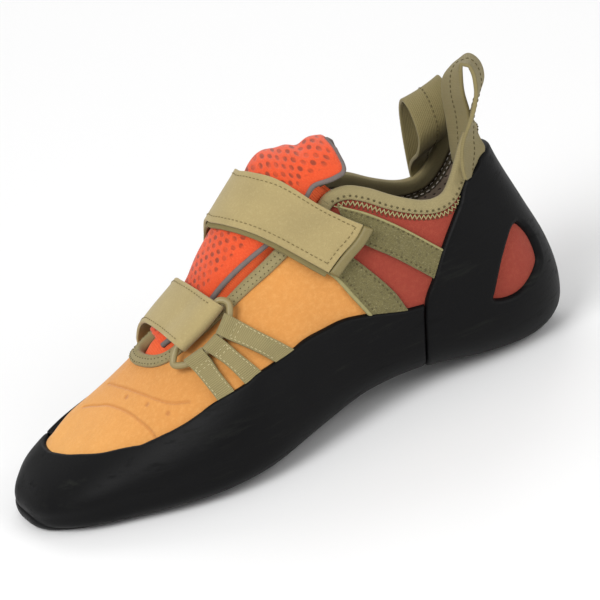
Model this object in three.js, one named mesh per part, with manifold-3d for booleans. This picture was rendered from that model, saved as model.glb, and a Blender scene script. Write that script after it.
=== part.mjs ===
// A left climbing shoe, standing empty on its sole.
// +X points to the toe, +Y to the outer (lateral) side, +Z up. Millimetres.
import * as THREE from "three";
import { mergeVertices } from "three/addons/utils/BufferGeometryUtils.js";
import Module from "manifold-3d";

const wasm = await Module();
wasm.setup();

// Named sizes of the last
const LENGTH = 234; // heel to toe, without rubber
const WIDTH = 82; // across the ball, without rubber
const HEIGHT = 92; // floor to the instep strap, and to the collar at the heel

// Walls
const LEATHER = 2.0;
const RAND = 2.3; // top of the rand above the upper
const SOLE = 4.9; // rubber under the foot
const SOLE_EDGE = 0.8; // the outsole stands proud of the rand by this
const HEEL_EDGE = 0.5; // the heel band stands proud of the rand by this
const TAPE = 1.1; // binding tape
const TAPE_WIDTH = 5.2;
const INSOLE = 2.6;
const TONGUE = 4.0;
const TONGUE_FLANGE = 1.2;
const STRAP = 1.4; // one layer of a strap
const PATCH = 1.2;
const WEBBING = 1.1;
const LOOP_WEBBING = 1.7;
const RING_WIRE = 1.4; // radius of the ring's wire
const TAB = 3.7; // how far the pull tab sticks out
const TAB_THICKNESS = 2.4;

// Clearances
const GAP = 0.3; // between any two pieces
const FAR = 300; // further than anything on the shoe

// The last, as sections from the toe's tip to the ankle. Each section stands
// between a bottom point and a ridge point; both lie in its own fanned plane.
// bottomX, ridgeX: shares of LENGTH. bottomZ, ridgeZ, in shares of HEIGHT.
// outer, inner, ridgeY: shares of WIDTH. belt: height share of the widest line.
// crown, base: roundness powers over and under the widest line.
const SECTIONS = [
  [0.9987, 0.0717, 0.9987, 0.0717, -0.1524, -0.1524, -0.1524, 0.5, 2, 2],
  [0.994, 0.0533, 0.994, 0.0978, -0.0671, -0.2293, -0.1768, 0.45, 2, 2.6],
  [0.9812, 0.0518, 0.9799, 0.1283, 0.0687, -0.311, -0.197, 0.4, 2.1, 3.4],
  [0.9551, 0.0518, 0.9509, 0.1848, 0.1766, -0.3939, -0.2096, 0.36, 2.1, 3.8],
  [0.9034, 0.0518, 0.8974, 0.2587, 0.291, -0.45, -0.2033, 0.33, 2.1, 4],
  [0.8323, 0.0518, 0.8274, 0.3543, 0.38, -0.4756, -0.1906, 0.3, 2, 4],
  [0.7524, 0.0518, 0.7436, 0.4739, 0.4689, -0.4817, -0.1716, 0.28, 1.9, 4],
  [0.6735, 0.0533, 0.6607, 0.6043, 0.5195, -0.4622, -0.1463, 0.27, 1.8, 4],
  [0.5874, 0.0641, 0.5786, 0.737, 0.5134, -0.4183, -0.1207, 0.27, 1.75, 3.6],
  [0.4863, 0.1, 0.5068, 0.8891, 0.4305, -0.361, -0.0951, 0.27, 1.75, 3.2],
  [0.3795, 0.1337, 0.4538, 1.0043, 0.3439, -0.3232, -0.0768, 0.28, 1.8, 3],
  [0.2662, 0.1217, 0.4154, 1.0717, 0.3049, -0.3037, -0.0634, 0.3, 1.85, 3],
  [0.159, 0.0707, 0.3803, 1.0978, 0.3098, -0.2976, -0.0573, 0.33, 1.9, 2.9],
  [0.0718, 0.0522, 0.3496, 1.113, 0.3122, -0.2915, -0.0512, 0.37, 2, 2.6],
  [0.0197, 0.1033, 0.3197, 1.1185, 0.3, -0.2841, -0.0439, 0.4, 2, 2.4],
  [0.0009, 0.2174, 0.2923, 1.1239, 0.2829, -0.272, -0.0378, 0.42, 2, 2.3],
  [0.0042, 0.3967, 0.2679, 1.1326, 0.2549, -0.2402, -0.0256, 0.44, 2, 2.3],
  [0.0256, 0.6141, 0.2474, 1.1391, 0.2244, -0.2085, -0.0122, 0.46, 2, 2.3],
  [0.0496, 0.8533, 0.2303, 1.1522, 0.2, -0.189, 0, 0.47, 2, 2.3],
  [0.0654, 1.1196, 0.2167, 1.1793, 0.1817, -0.1707, 0, 0.48, 2, 2.3],
];

// How far tongue and straps rise over the last along the instep.
const RISE = [ // section, share of HEIGHT
  [6.0, 0.0], [6.8, 0.022], [7.2, 0.031], [7.7, 0.036], [7.9, 0.045], [8.25, 0.072], [8.8, 0.084], [9.9, 0.091],
  [10.5, 0.098], [11.0, 0.12], [11.4, 0.13], [11.8, 0.112], [12.3, 0.096], [13.4, 0.083], [14.5, 0.065], [19.0, 0.054],
];

// The throat: the free edges of the upper on both sides of the tongue.
const THROAT = [ // section, outer edge, inner edge (shares of the half girth)
  [6.27, 0.0, -0.045], [6.34, 0.035, -0.065], [6.45, 0.08, -0.085], [6.6, 0.115, -0.1],
  [6.86, 0.139, -0.11], [7.5, 0.153, -0.117], [8.27, 0.167, -0.125], [9.74, 0.2, -0.145],
  [11.2, 0.18, -0.155], [12.6, 0.135, -0.15], [14.5, 0.135, -0.15],
];

// The tongue's own edge lines.
const TONGUE_EDGE = [ // section, outer edge, inner edge
  [6.75, 0.08, -0.06], [7.1, 0.1, -0.075], [7.4, 0.112, -0.085], [7.7, 0.12, -0.09], [8.2, 0.128, -0.095], [8.8, 0.143, -0.104],
  [9.2, 0.153, -0.11], [9.8, 0.165, -0.116], [10.5, 0.155, -0.12],
  [11.2, 0.145, -0.125], [11.7, 0.125, -0.122], [12.4, 0.105, -0.12], [13.3, 0.112, -0.135],
  [14.1, 0.1, -0.13], [14.65, 0.04, -0.07],
];

// The collar's edge seen from the side; it leans toward the outer side.
const COLLAR = [ // x share of LENGTH, z share of HEIGHT
  [-0.12, 1.08], [0.02, 1.07], [0.06, 1.05], [0.094, 0.985], [0.112, 0.93], [0.13, 0.872],
  [0.153, 0.815], [0.173, 0.802], [0.192, 0.811], [0.211, 0.833], [0.244, 0.887],
  [0.269, 0.938], [0.284, 0.962], [0.309, 0.993], [0.345, 0.993],
];
const COLLAR_LEAN = 0.16;

// The rand's top edge, outer and inner side.
const RAND_TOP = [ // x share of LENGTH, z outer, z inner (shares of HEIGHT)
  [0.19, 0.41, 0.39], [0.25, 0.429, 0.4], [0.281, 0.438, 0.41], [0.314, 0.461, 0.42], [0.347, 0.487, 0.43],
  [0.39, 0.514, 0.44], [0.429, 0.517, 0.45], [0.467, 0.517, 0.45], [0.5, 0.5, 0.445],
  [0.562, 0.476, 0.43], [0.587, 0.455, 0.425], [0.647, 0.418, 0.41], [0.703, 0.368, 0.4],
  [0.752, 0.335, 0.38], [0.795, 0.313, 0.362], [0.838, 0.292, 0.337], [0.87, 0.28, 0.285],
  [0.903, 0.262, 0.258], [0.917, 0.25, 0.25], [0.925, 0.241, 0.241], [1.1, 0.235, 0.235],
];
const RAND_INNER_Y = -0.3; // shares of WIDTH: inner profile holds from here
const RAND_OUTER_Y = -0.16; // outer profile holds from here

// The seam between rand and outsole.
const SOLE_TOP = [ // x share of LENGTH, z share of HEIGHT
  [-0.1, 0.072], [0.07, 0.068], [0.18, 0.089], [0.28, 0.136], [0.385, 0.147],
  [0.483, 0.112], [0.6, 0.072], [0.7, 0.066], [0.92, 0.066], [1.1, 0.07],
];

// The heel band's outline from the side, leaning with the collar.
const HEEL_BAND = [ // x share of LENGTH, z share of HEIGHT
  [-0.15, -0.3], [0.285, -0.3], [0.27, 0.18], [0.25, 0.382], [0.224, 0.483], [0.193, 0.599],
  [0.159, 0.702], [0.138, 0.76], [0.12, 0.828], [0.09, 0.876], [0.053, 0.92], [-0.15, 0.93],
];
const WINDOW = [ // x share of LENGTH, z share of HEIGHT
  [0.132, 0.325], [0.127, 0.36], [0.1, 0.478], [0.078, 0.55], [0.063, 0.583], [0.051, 0.575],
  [0.037, 0.495], [0.034, 0.401], [0.043, 0.36], [0.074, 0.311], [0.102, 0.301],
];

// Bands over the last by their two edges, row by row along the band: section
// and half-girth share of the edge toward the heel, then of that toward the toe.
const INSTEP_STRAP = [
  // backS  backV  frontS frontV
  [12.53,  0.266, 10.56,  0.365],
  [12.0,   0.18,  10.12,  0.245],
  [11.42,  0.089,  9.68,  0.13],
  [10.95,  0.03,   9.3,   0.045],
  [10.55, -0.02,   9.0,  -0.025],
  [10.1,  -0.12,   8.66, -0.13],
  [9.8,   -0.25,   8.4,  -0.255],
  [9.65,  -0.42,   8.25, -0.42],
];
const FRONT_STRAP = [
  [8.23,  0.201, 7.13,  0.213],
  [8.05,  0.12,  6.98,  0.115],
  [7.75, -0.045, 6.72, -0.075],
  [7.6,  -0.17,  6.55, -0.19],
  [7.5,  -0.29,  6.4,  -0.3],
  [7.45, -0.42,  6.32, -0.42],
];
const WEBBING_EDGES = [
  [[8.21, 0.24, 7.94, 0.265], [8.6, 0.35, 8.27, 0.36], [9.03, 0.469, 8.63, 0.46], [9.2, 0.52, 8.8, 0.52]],
  [[7.86, 0.268, 7.55, 0.272], [8.08, 0.355, 7.75, 0.355], [8.31, 0.445, 7.93, 0.44], [8.4, 0.5, 8.05, 0.5]],
  [[7.45, 0.27, 7.11, 0.265], [7.56, 0.35, 7.21, 0.35], [7.68, 0.433, 7.31, 0.43], [7.75, 0.5, 7.38, 0.5]],
];
const RING_CORNERS = [ // section, half-girth share, 1 at the height of the strap's bar and 0 at the webbing's
  [8.36, 0.212, 0.5], [6.86, 0.234, 0.5],
];
const PATCH_UPPER = [
  [12.45, 0.18, 11.75, 0.27], [13.05, 0.245, 11.98, 0.34], [13.45, 0.335, 12.3, 0.415],
  [13.68, 0.46, 12.55, 0.525], [13.75, 0.54, 12.6, 0.62],
];
const PATCH_LOWER = [
  [11.2, 0.3, 10.35, 0.28], [11.38, 0.365, 10.46, 0.335], [11.49, 0.457, 10.64, 0.397],
  [11.51, 0.531, 10.68, 0.478], [11.44, 0.595, 10.71, 0.555], [11.4, 0.66, 10.71, 0.63],
];

// Pull loops: middle of the webbing and half its width, as shares of
// LENGTH, WIDTH, HEIGHT for the place and of LOOP_WIDTH for the half width.
const LOOP_WIDTH = 18;
const LOOP_OUTER = [
  // x     y      z      wx     wy     wz
  [0.078, 0.186, 0.935, 0.33,  0.35,  -0.12],
  [0.073, 0.186, 1.02,  0.25,  0.42,  0.02],
  [0.067, 0.172, 1.115, 0.06,  0.44,  0.22],
  [0.05,  0.166, 1.185, 0.13,  0.43,  0.2],
  [0.038, 0.158, 1.241, 0.2,   0.42,  0.15],
  [0.044, 0.1,   1.35,  0.2,   0.4,   0.2],
  [0.06,  0.05,  1.3,   0.21,  0.39,  0.21],
  [0.079, 0.025, 1.193, 0.22,  0.37,  0.24],
  [0.089, 0.04,  1.11,  0.25,  0.36,  0.15],
  [0.098, 0.06,  1.035, 0.3,   0.35,  0.05],
  [0.112, 0.12,  0.88,  0.36,  0.32,  -0.1],
];
const LOOP_INNER = [
  [0.13,  -0.300, 0.76, -0.47, -0.08, 0.1],
  [0.127, -0.300, 0.86, -0.47, -0.07, 0.1],
  [0.121, -0.29, 1.0,   -0.48, -0.03, 0.11],
  [0.117, -0.24, 1.13,  -0.48, 0.0,   0.11],
  [0.115, -0.18, 1.195, -0.48, 0.0,   0.11],
  [0.116, -0.125, 1.14, -0.48, 0.0,   0.11],
  [0.12,  -0.115, 1.03, -0.48, -0.03, 0.11],
  [0.124, -0.16, 0.945, -0.47, -0.05, 0.1],
  [0.127, -0.235, 0.89, -0.47, -0.07, 0.1],
  [0.13,  -0.27, 0.83,  -0.47, -0.08, 0.1],
  [0.13,  -0.273, 0.77, -0.47, -0.08, 0.1],
];

// Tables read as smooth or straight lines

const mix = (a, b, t) => a + (b - a) * t;

function straight(table, column, at) {
  let i = 1;
  while (i < table.length - 1 && table[i][0] < at) i += 1;
  const [low, high] = [table[i - 1], table[i]];
  const t = THREE.MathUtils.clamp((at - low[0]) / (high[0] - low[0]), 0, 1);
  return mix(low[column], high[column], t);
}

const mirrored = SECTIONS[1].map((value, k) => (k < 7 ? 2 * SECTIONS[0][k] - value : value));

function section(at) {
  const i = THREE.MathUtils.clamp(Math.floor(at), 0, SECTIONS.length - 2);
  const t = at - i;
  const row = (k) => (k < 0 ? mirrored : SECTIONS[Math.min(k, SECTIONS.length - 1)]);
  const [p0, p1, p2, p3] = [row(i - 1), row(i), row(i + 1), row(i + 2)];
  const at4 = (k) =>
    p1[k] + 0.5 * t * (p2[k] - p0[k] + t * (2 * p0[k] - 5 * p1[k] + 4 * p2[k] - p3[k] + t * (3 * (p1[k] - p2[k]) + p3[k] - p0[k])));
  return {
    bottom: [at4(0) * LENGTH, at4(1) * HEIGHT],
    ridge: [at4(2) * LENGTH, at4(3) * HEIGHT],
    outer: at4(4) * WIDTH,
    inner: at4(5) * WIDTH,
    ridgeY: at4(6) * WIDTH,
    belt: at4(7),
    crown: at4(8),
    base: at4(9),
  };
}

// Half a section as points, from the ridge to the bottom, with running length
const DENSE = 96;
const halves = new Map();
function half(at, side) {
  const key = at.toFixed(4) + side;
  if (halves.has(key)) return halves.get(key);
  const c = section(at);
  const wide = side > 0 ? c.outer : c.inner;
  const middle = 0.45 * (c.outer + c.inner);
  const points = [];
  for (let k = 0; k <= 2 * DENSE; k += 1) {
    const q = ((k <= DENSE ? k : k - DENSE) / DENSE) * (Math.PI / 2);
    const [sin, cos] = [Math.max(Math.sin(q), 0), Math.max(Math.cos(q), 0)];
    let y, h;
    if (k <= DENSE) {
      y = c.ridgeY + (wide - c.ridgeY) * sin ** (2 / c.crown);
      h = c.belt + (1 - c.belt) * cos ** (2 / c.crown);
    } else {
      y = middle + (wide - middle) * cos ** (2 / c.base);
      h = c.belt - c.belt * sin ** (2 / c.base);
    }
    points.push(new THREE.Vector3(mix(c.bottom[0], c.ridge[0], h), y, mix(c.bottom[1], c.ridge[1], h)));
  }
  const lengths = [0];
  for (let k = 1; k < points.length; k += 1) lengths.push(lengths[k - 1] + points[k].distanceTo(points[k - 1]));
  const made = { points, lengths, girth: lengths[lengths.length - 1] };
  halves.set(key, made);
  return made;
}

// A point of the last. around runs 0 at the ridge to 1 under the foot on the
// outer side and to -1 on the inner side; past 1 it goes on up the inner side.
function onLast(at, around) {
  if (around > 1) around -= 2;
  if (around < -1) around += 2;
  const { points, lengths, girth } = half(at, around < 0 ? -1 : 1);
  const want = Math.abs(around) * girth;
  let [low, high] = [0, lengths.length - 1];
  while (high - low > 1) {
    const mid = (low + high) >> 1;
    if (lengths[mid] <= want) low = mid;
    else high = mid;
  }
  const span = lengths[high] - lengths[low];
  return points[low].clone().lerp(points[high], span > 0 ? (want - lengths[low]) / span : 0);
}

const TOP = SECTIONS.length - 1;
function normal(at, around) {
  const s = THREE.MathUtils.clamp(at, 0.08, TOP - 0.06);
  const along = onLast(s + 0.05, around).sub(onLast(s - 0.05, around));
  const across = onLast(s, around + 0.012).sub(onLast(s, around - 0.012));
  return along.cross(across).normalize().negate();
}

const rise = (at, around) =>
  straight(RISE, 1, at) * HEIGHT * Math.exp(-((Math.abs(around + 0.03) / 0.21) ** 4));

// The last's stations and points around, as the solids below are faceted
const STATIONS = [0.3, 0.9, 1.6, 2.5, 3.5, 4.6, 5.7, 6.8, 7.8, 8.8, 9.8, 10.8, 11.7,
  12.4, 13, 13.6, 14.3, 15, 15.9, 16.9, 17.9, 19.0];
// Steps round half a section, in shares of a quarter turn over the widest line
// (0 to 1) and under it (1 to 2), so that one row of points keeps to the sole's edge
const COLUMNS = [0, 0.2, 0.4, 0.6, 0.8, 1.0, 1.2, 1.35, 1.5, 1.65, 1.8, 2.0];
function columnShares(at, side) {
  const { lengths, girth } = half(at, side);
  return COLUMNS.map((c) => lengths[Math.round(c * DENSE)] / girth);
}

// A point on the facets of the last
function onFacets(at, around) {
  if (around > 1) around -= 2;
  if (around < -1) around += 2;
  const side = around < 0 ? -1 : 1;
  let i = 1;
  while (i < STATIONS.length - 1 && STATIONS[i] < at) i += 1;
  const [low, high] = [STATIONS[i - 1], STATIONS[i]];
  const t = THREE.MathUtils.clamp((at - low) / (high - low), 0, 1);
  const [a, b] = [columnShares(low, side), columnShares(high, side)];
  const share = (k) => mix(a[k], b[k], t);
  let k = 1;
  while (k < COLUMNS.length - 1 && share(k) < Math.abs(around)) k += 1;
  const u = (Math.abs(around) - share(k - 1)) / (share(k) - share(k - 1));
  const along = (station, shares) => onLast(station, side * shares[k - 1]).lerp(onLast(station, side * shares[k]), u);
  return along(low, a).lerp(along(high, b), t);
}

const over = (at, around, height) => onFacets(at, around).addScaledVector(normal(at, around), height);

// Closed solids

function geometryOf(positions, triangles) {
  const g = new THREE.BufferGeometry();
  g.setAttribute("position", new THREE.Float32BufferAttribute(positions.flatMap((p) => [p.x, p.y, p.z]), 3));
  g.setIndex(triangles);
  return g;
}

// Faces out, whichever way its loops were laid.
function outward(g) {
  const p = g.getAttribute("position");
  const i = g.index.array;
  const [a, b, c] = [new THREE.Vector3(), new THREE.Vector3(), new THREE.Vector3()];
  let volume = 0;
  for (let k = 0; k < i.length; k += 3) {
    a.fromBufferAttribute(p, i[k]);
    b.fromBufferAttribute(p, i[k + 1]);
    c.fromBufferAttribute(p, i[k + 2]);
    volume += a.dot(b.cross(c));
  }
  if (volume < 0) for (let k = 0; k < i.length; k += 3) [i[k + 1], i[k + 2]] = [i[k + 2], i[k + 1]];
  return g;
}

// Rings of equal count joined in a row: capped at both ends, or closed round.
function loft(rings, { round = false } = {}) {
  const n = rings[0].length;
  const positions = rings.flat();
  const triangles = [];
  const rows = round ? rings.length : rings.length - 1;
  for (let i = 0; i < rows; i += 1) {
    const next = (i + 1) % rings.length;
    for (let k = 0; k < n; k += 1) {
      const [a, b] = [i * n + k, i * n + ((k + 1) % n)];
      const [c, d] = [next * n + k, next * n + ((k + 1) % n)];
      triangles.push(a, b, d, a, d, c);
    }
  }
  if (!round) {
    for (const [ring, flip] of [[0, true], [rings.length - 1, false]]) {
      const centre = new THREE.Vector3();
      rings[ring].forEach((p) => centre.addScaledVector(p, 1 / n));
      positions.push(centre);
      for (let k = 0; k < n; k += 1) {
        const [a, b] = [ring * n + k, ring * n + ((k + 1) % n)];
        triangles.push(...(flip ? [positions.length - 1, b, a] : [positions.length - 1, a, b]));
      }
    }
  }
  return outward(geometryOf(positions, triangles));
}

// A plate between two grids of points, walled round its border.
function plate(lower, upper) {
  const [rows, columns] = [lower.length, lower[0].length];
  const positions = [...lower.flat(), ...upper.flat()];
  const triangles = [];
  const id = (top, i, k) => top * rows * columns + i * columns + k;
  for (let i = 0; i + 1 < rows; i += 1)
    for (let k = 0; k + 1 < columns; k += 1) {
      triangles.push(id(1, i, k), id(1, i + 1, k), id(1, i + 1, k + 1), id(1, i, k), id(1, i + 1, k + 1), id(1, i, k + 1));
      triangles.push(id(0, i, k), id(0, i + 1, k + 1), id(0, i + 1, k), id(0, i, k), id(0, i, k + 1), id(0, i + 1, k + 1));
    }
  const border = [];
  for (let i = 0; i < rows - 1; i += 1) border.push([i, 0]);
  for (let k = 0; k < columns - 1; k += 1) border.push([rows - 1, k]);
  for (let i = rows - 1; i > 0; i -= 1) border.push([i, columns - 1]);
  for (let k = columns - 1; k > 0; k -= 1) border.push([0, k]);
  border.forEach(([i, k], j) => {
    const [m, l] = border[(j + 1) % border.length];
    triangles.push(id(0, i, k), id(0, m, l), id(1, m, l), id(0, i, k), id(1, m, l), id(1, i, k));
  });
  return outward(geometryOf(positions, triangles));
}

// Cutting and joining

function solid(geometry) {
  const g = geometry.index ? geometry.clone() : geometry;
  g.deleteAttribute("normal");
  g.deleteAttribute("uv");
  const merged = mergeVertices(g, 1e-4);
  return new wasm.Manifold(
    new wasm.Mesh({
      numProp: 3,
      vertProperties: new Float32Array(merged.getAttribute("position").array),
      triVerts: new Uint32Array(merged.index.array),
    }),
  );
}

// The largest body of a solid as a geometry; crumbs of a cut are dropped.
function body(manifold) {
  const parts = manifold.decompose().sort((a, b) => b.volume() - a.volume());
  const mesh = parts[0].getMesh();
  const g = new THREE.BufferGeometry();
  g.setAttribute("position", new THREE.Float32BufferAttribute(mesh.vertProperties, 3));
  g.setIndex([...mesh.triVerts]);
  return g;
}

// The last grown or shrunk

function last(grow, first = 0) {
  const rings = STATIONS.slice(first).map((at) => {
    const [outer, inner] = [columnShares(at, 1), columnShares(at, -1)];
    const arounds = [...outer, ...inner.slice(1, -1).reverse().map((share) => -share)];
    return arounds.map((around) => {
      const n = normal(at, around);
      return onLast(at, around).addScaledVector(n, grow(n));
    });
  });
  return solid(loft(rings));
}
const INSIDE = 2; // shrunken lasts start at this station, short of the tip

const skin = last(() => 0);
const lining = last(() => -LEATHER, INSIDE);
const skinClear = last(() => GAP);
const rubber = (extra) => last((n) => RAND + extra + (SOLE - RAND) * Math.max(0, -n.z) ** 1.5);

// Cutters

function sidePrism(table, { lean = 0, shift = [0, 0] } = {}) {
  const shape = new THREE.Shape(table.map(([x, z]) => new THREE.Vector2(x * LENGTH + shift[0], z * HEIGHT + shift[1])));
  const g = new THREE.ExtrudeGeometry(shape, { depth: 2 * FAR, bevelEnabled: false });
  g.rotateX(Math.PI / 2).translate(0, FAR, 0);
  const p = g.getAttribute("position");
  for (let i = 0; i < p.count; i += 1) p.setZ(i, p.getZ(i) + lean * p.getY(i));
  return solid(g);
}

// All that lies over a height given along X, apart on both sides of the toe
function overLine(table, columns, lift) {
  const xs = table.map(([x]) => x);
  const ys = [-FAR / WIDTH, RAND_INNER_Y, RAND_OUTER_Y, FAR / WIDTH];
  const lower = xs.map((x) =>
    ys.map((y, k) => new THREE.Vector3(x * LENGTH, y * WIDTH, straight(table, columns[k < 2 ? 1 : 0], x) * HEIGHT + lift)),
  );
  return solid(plate(lower, lower.map((row) => row.map((p) => new THREE.Vector3(p.x, p.y, FAR)))));
}

const smoothClosed = (table, count) =>
  new THREE.CatmullRomCurve3(table.map(([x, z]) => new THREE.Vector3(x, z, 0)), true, "centripetal")
    .getPoints(count).slice(0, -1).map((p) => [p.x, p.y]);

const smoothOpen = (table, count) =>
  new THREE.CatmullRomCurve3(table.map(([x, z]) => new THREE.Vector3(x, z, 0)), false, "centripetal")
    .getPoints(count).map((p) => [p.x, p.y]);

const collarLine = smoothOpen(COLLAR, 12);
const aboveCollar = (lift) =>
  sidePrism([...collarLine, [collarLine[collarLine.length - 1][0], FAR / HEIGHT], [collarLine[0][0], FAR / HEIGHT]],
    { lean: COLLAR_LEAN, shift: [0, lift] });

// A block through the wall over a share of the instep, between two edge lines
function throughWall(table, grow, front) {
  const grid = (height) =>
    table.map(([at], i) => {
      const girth = (side) => half(at, side).girth;
      const [a, b] = [table[i][2] - grow / girth(-1), table[i][1] + grow / girth(1)];
      return Array.from({ length: 4 }, (_, k) => over(at - (i < 5 ? front : 0), mix(a, b, k / 3), height));
    });
  return solid(plate(grid(-9), grid(12)));
}
const SPACING = 21; // between sections at the throat's front
const TAPE_FRONT = TAPE_WIDTH / SPACING;
const throat = throughWall(THROAT, 0, 0);

// The upper: one hollow body, open at collar, throat and under the foot

const BOTTOM_EDGE = 0.8; // half-girth share where the upper's flange ends
const underFoot = (() => {
  const ats = [2.2, 3, 4, 5, 6, 7, 8, 9, 10, 11, 12, 13, 13.6];
  const grid = (height) => ats.map((at) => Array.from({ length: 7 }, (_, k) => over(at, mix(BOTTOM_EDGE, 2 - BOTTOM_EDGE, k / 6), height)));
  return solid(plate(grid(-4), grid(4)));
})();

const upper = skin.subtract(lining).subtract(aboveCollar(0)).subtract(throat).subtract(underFoot);

// Bindings: tape folded over the free edges, outside, over the edge and inside

const tapeOut = last(() => GAP + TAPE);
const tapeIn = last(() => -LEATHER - GAP - TAPE, INSIDE);
const liningClear = last(() => -LEATHER - GAP, INSIDE);
const folded = tapeOut.subtract(tapeIn);
const wallClear = skinClear.subtract(liningClear);
const throatTape = throughWall(THROAT, TAPE_WIDTH, TAPE_FRONT);
const throatHole = throughWall(THROAT, -TAPE, -TAPE / SPACING);
const throatClear = throughWall(THROAT, -GAP, -GAP / SPACING);
const collarTapeBand = aboveCollar(-TAPE_WIDTH).subtract(aboveCollar(TAPE));

const inFrontOf = (x) => sidePrism([[x / LENGTH, -1], [x / LENGTH, 3], [2, 3], [2, -1]]);
const SEAM_X = 0.352 * LENGTH; // where the two tapes meet
const collarBinding = folded.intersect(collarTapeBand).subtract(wallClear.subtract(aboveCollar(GAP)))
  .subtract(inFrontOf(SEAM_X - GAP)).subtract(throughWall(THROAT, TAPE_WIDTH + GAP, TAPE_FRONT));
const throatBinding = folded.intersect(throatTape).subtract(throatHole)
  .subtract(wallClear.subtract(throatClear)).intersect(inFrontOf(SEAM_X));

// Rubber

const floor = sidePrism([[-2, -2], [3, -2], [3, 0], [-2, 0]]);
const aboveSole = (lift) => {
  const line = smoothOpen(SOLE_TOP, 12);
  return sidePrism([...line, [line[line.length - 1][0], FAR / HEIGHT], [line[0][0], FAR / HEIGHT]], { shift: [0, lift] });
};
const outsole = rubber(SOLE_EDGE).subtract(skinClear).subtract(aboveSole(0)).subtract(floor);
const heelRegion = (shift) => sidePrism(HEEL_BAND, { lean: COLLAR_LEAN, shift: [shift, shift] });
const window = sidePrism(smoothClosed(WINDOW, 16));
const side = rubber(0).subtract(skinClear).intersect(aboveSole(GAP));
const rand = side.subtract(overLine(RAND_TOP, [1, 2], 0)).subtract(heelRegion(GAP));
const heelBand = rubber(HEEL_EDGE).subtract(skinClear).intersect(aboveSole(GAP)).intersect(heelRegion(0)).subtract(window);

// Bands over the last

// A band's frame: its place for a length along its middle and a share across
function bandLine(table) {
  const edge = (k) =>
    new THREE.CatmullRomCurve3(table.map((row) => new THREE.Vector3(row[k], row[k + 1] * 10, 0)), false, "centripetal");
  const [back, front] = [edge(0), edge(2)];
  const place = (t, across) => {
    const p = back.getPoint(t).lerp(front.getPoint(t), across);
    return [p.x, p.y / 10];
  };
  const steps = 40;
  const middle = Array.from({ length: steps + 1 }, (_, i) => onLast(...place(i / steps, 0.5)));
  const lengths = [0];
  for (let i = 1; i <= steps; i += 1) lengths.push(lengths[i - 1] + middle[i].distanceTo(middle[i - 1]));
  const length = lengths[steps];
  const width = onLast(...place(0, 0)).distanceTo(onLast(...place(0, 1)));
  const at = (mm, across) => {
    let i = 1;
    while (i < steps && lengths[i] < mm) i += 1;
    const t = THREE.MathUtils.clamp((i - 1 + (mm - lengths[i - 1]) / (lengths[i] - lengths[i - 1])) / steps, 0, 1);
    const [s, v] = place(t, across);
    const past = mm < 0 ? mm : mm > length ? mm - length : 0;
    const direction = onLast(...place(Math.min(t + 0.02, 1), across)).sub(onLast(...place(Math.max(t - 0.02, 0), across)));
    return { s, v, past, direction: direction.normalize() };
  };
  return { at, length, width };
}

function bandPoint(line, mm, across, height) {
  const { s, v, past, direction } = line.at(mm, across);
  return over(s, v, height + rise(s, v)).addScaledVector(direction, past);
}

// A flat band over the last, at the given lengths along it and shares across
function band(table, low, high, lengths, shares) {
  const line = bandLine(table);
  const grid = (height) => lengths.map((mm) => shares.map((across) => bandPoint(line, mm, across, height)));
  return plate(grid(low), grid(high));
}
const evenly = (from, to, count) => Array.from({ length: count + 1 }, (_, i) => mix(from, to, i / count));

const STRAP_BASE = GAP + TAPE + 2 * GAP; // straps pass over the throat's tape
const UNDER_LOW = Math.max(STRAP_BASE, GAP + PATCH + 2 * GAP);
const UNDER_HIGH = UNDER_LOW + STRAP;
const UNDER_SHOWS = 1.6; // the under layer stands out past the strap's front edge
const instepLine = bandLine(INSTEP_STRAP);
const instepRows = evenly(0, instepLine.length, 13);
const instepShares = evenly(0, 1, 4);
const instepTop = band(INSTEP_STRAP, UNDER_HIGH + GAP, UNDER_HIGH + GAP + STRAP, instepRows, instepShares);
const underShares = [...instepShares, 1 + UNDER_SHOWS / instepLine.width];
const instepUnder = band(INSTEP_STRAP, UNDER_LOW, UNDER_HIGH, instepRows.slice(0, 9), underShares);
const tab = band(INSTEP_STRAP, UNDER_HIGH - 0.2, UNDER_HIGH - 0.2 + TAB_THICKNESS, [-TAB - GAP, -GAP], instepShares);

// A strap or webbing folded round a bar: top leg, round the bar, under leg.
// The top leg comes down onto the under leg within a length.
const FOLD_STEPS = 4;
function foldedBand(table, thickness, slack, height, { from = 0, folded, closes, step, shares }) {
  const line = bandLine(table);
  const r = RING_WIRE + slack;
  const outerR = r + thickness;
  const end = line.length;
  const under = Math.min(folded, end);
  const sink = 2 * r - GAP;
  const down = (mm) => sink * THREE.MathUtils.smoothstep(mm, from, from + closes);
  // The band's path from its far end over the bar and back: outer, inner face
  const path = [];
  const topLine = evenly(end, from, Math.max(2, Math.round((end - from) / step)));
  topLine.slice(0, -1).forEach((mm) => path.push([[mm, height + outerR - down(mm)], [mm, height + r - down(mm)]]));
  for (let k = 0; k <= FOLD_STEPS; k += 1) {
    const a = Math.PI / 2 + (Math.PI * k) / FOLD_STEPS;
    path.push([outerR, r].map((radius) => [from + radius * Math.cos(a), height + radius * Math.sin(a)]));
  }
  [...topLine.filter((mm) => mm > from && mm < under).reverse(), under]
    .forEach((mm) => path.push([[mm, height - outerR], [mm, height - r]]));
  const grid = (face) => path.map((pair) => shares.map((across) => bandPoint(line, pair[face][0], across, pair[face][1])));
  return plate(grid(1), grid(0));
}

const FRONT_BAR = RING_WIRE + GAP + STRAP; // from the strap's end to the bar's middle
const barHeight = STRAP_BASE + STRAP + GAP + RING_WIRE;
const wireHeight = 2 * GAP + WEBBING + 2 * GAP + RING_WIRE;
const frontStrapWhole = foldedBand(FRONT_STRAP, STRAP, GAP, barHeight,
  { from: FRONT_BAR, folded: 17, closes: 12, step: 5.5, shares: evenly(0, 1, 4) });

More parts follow.
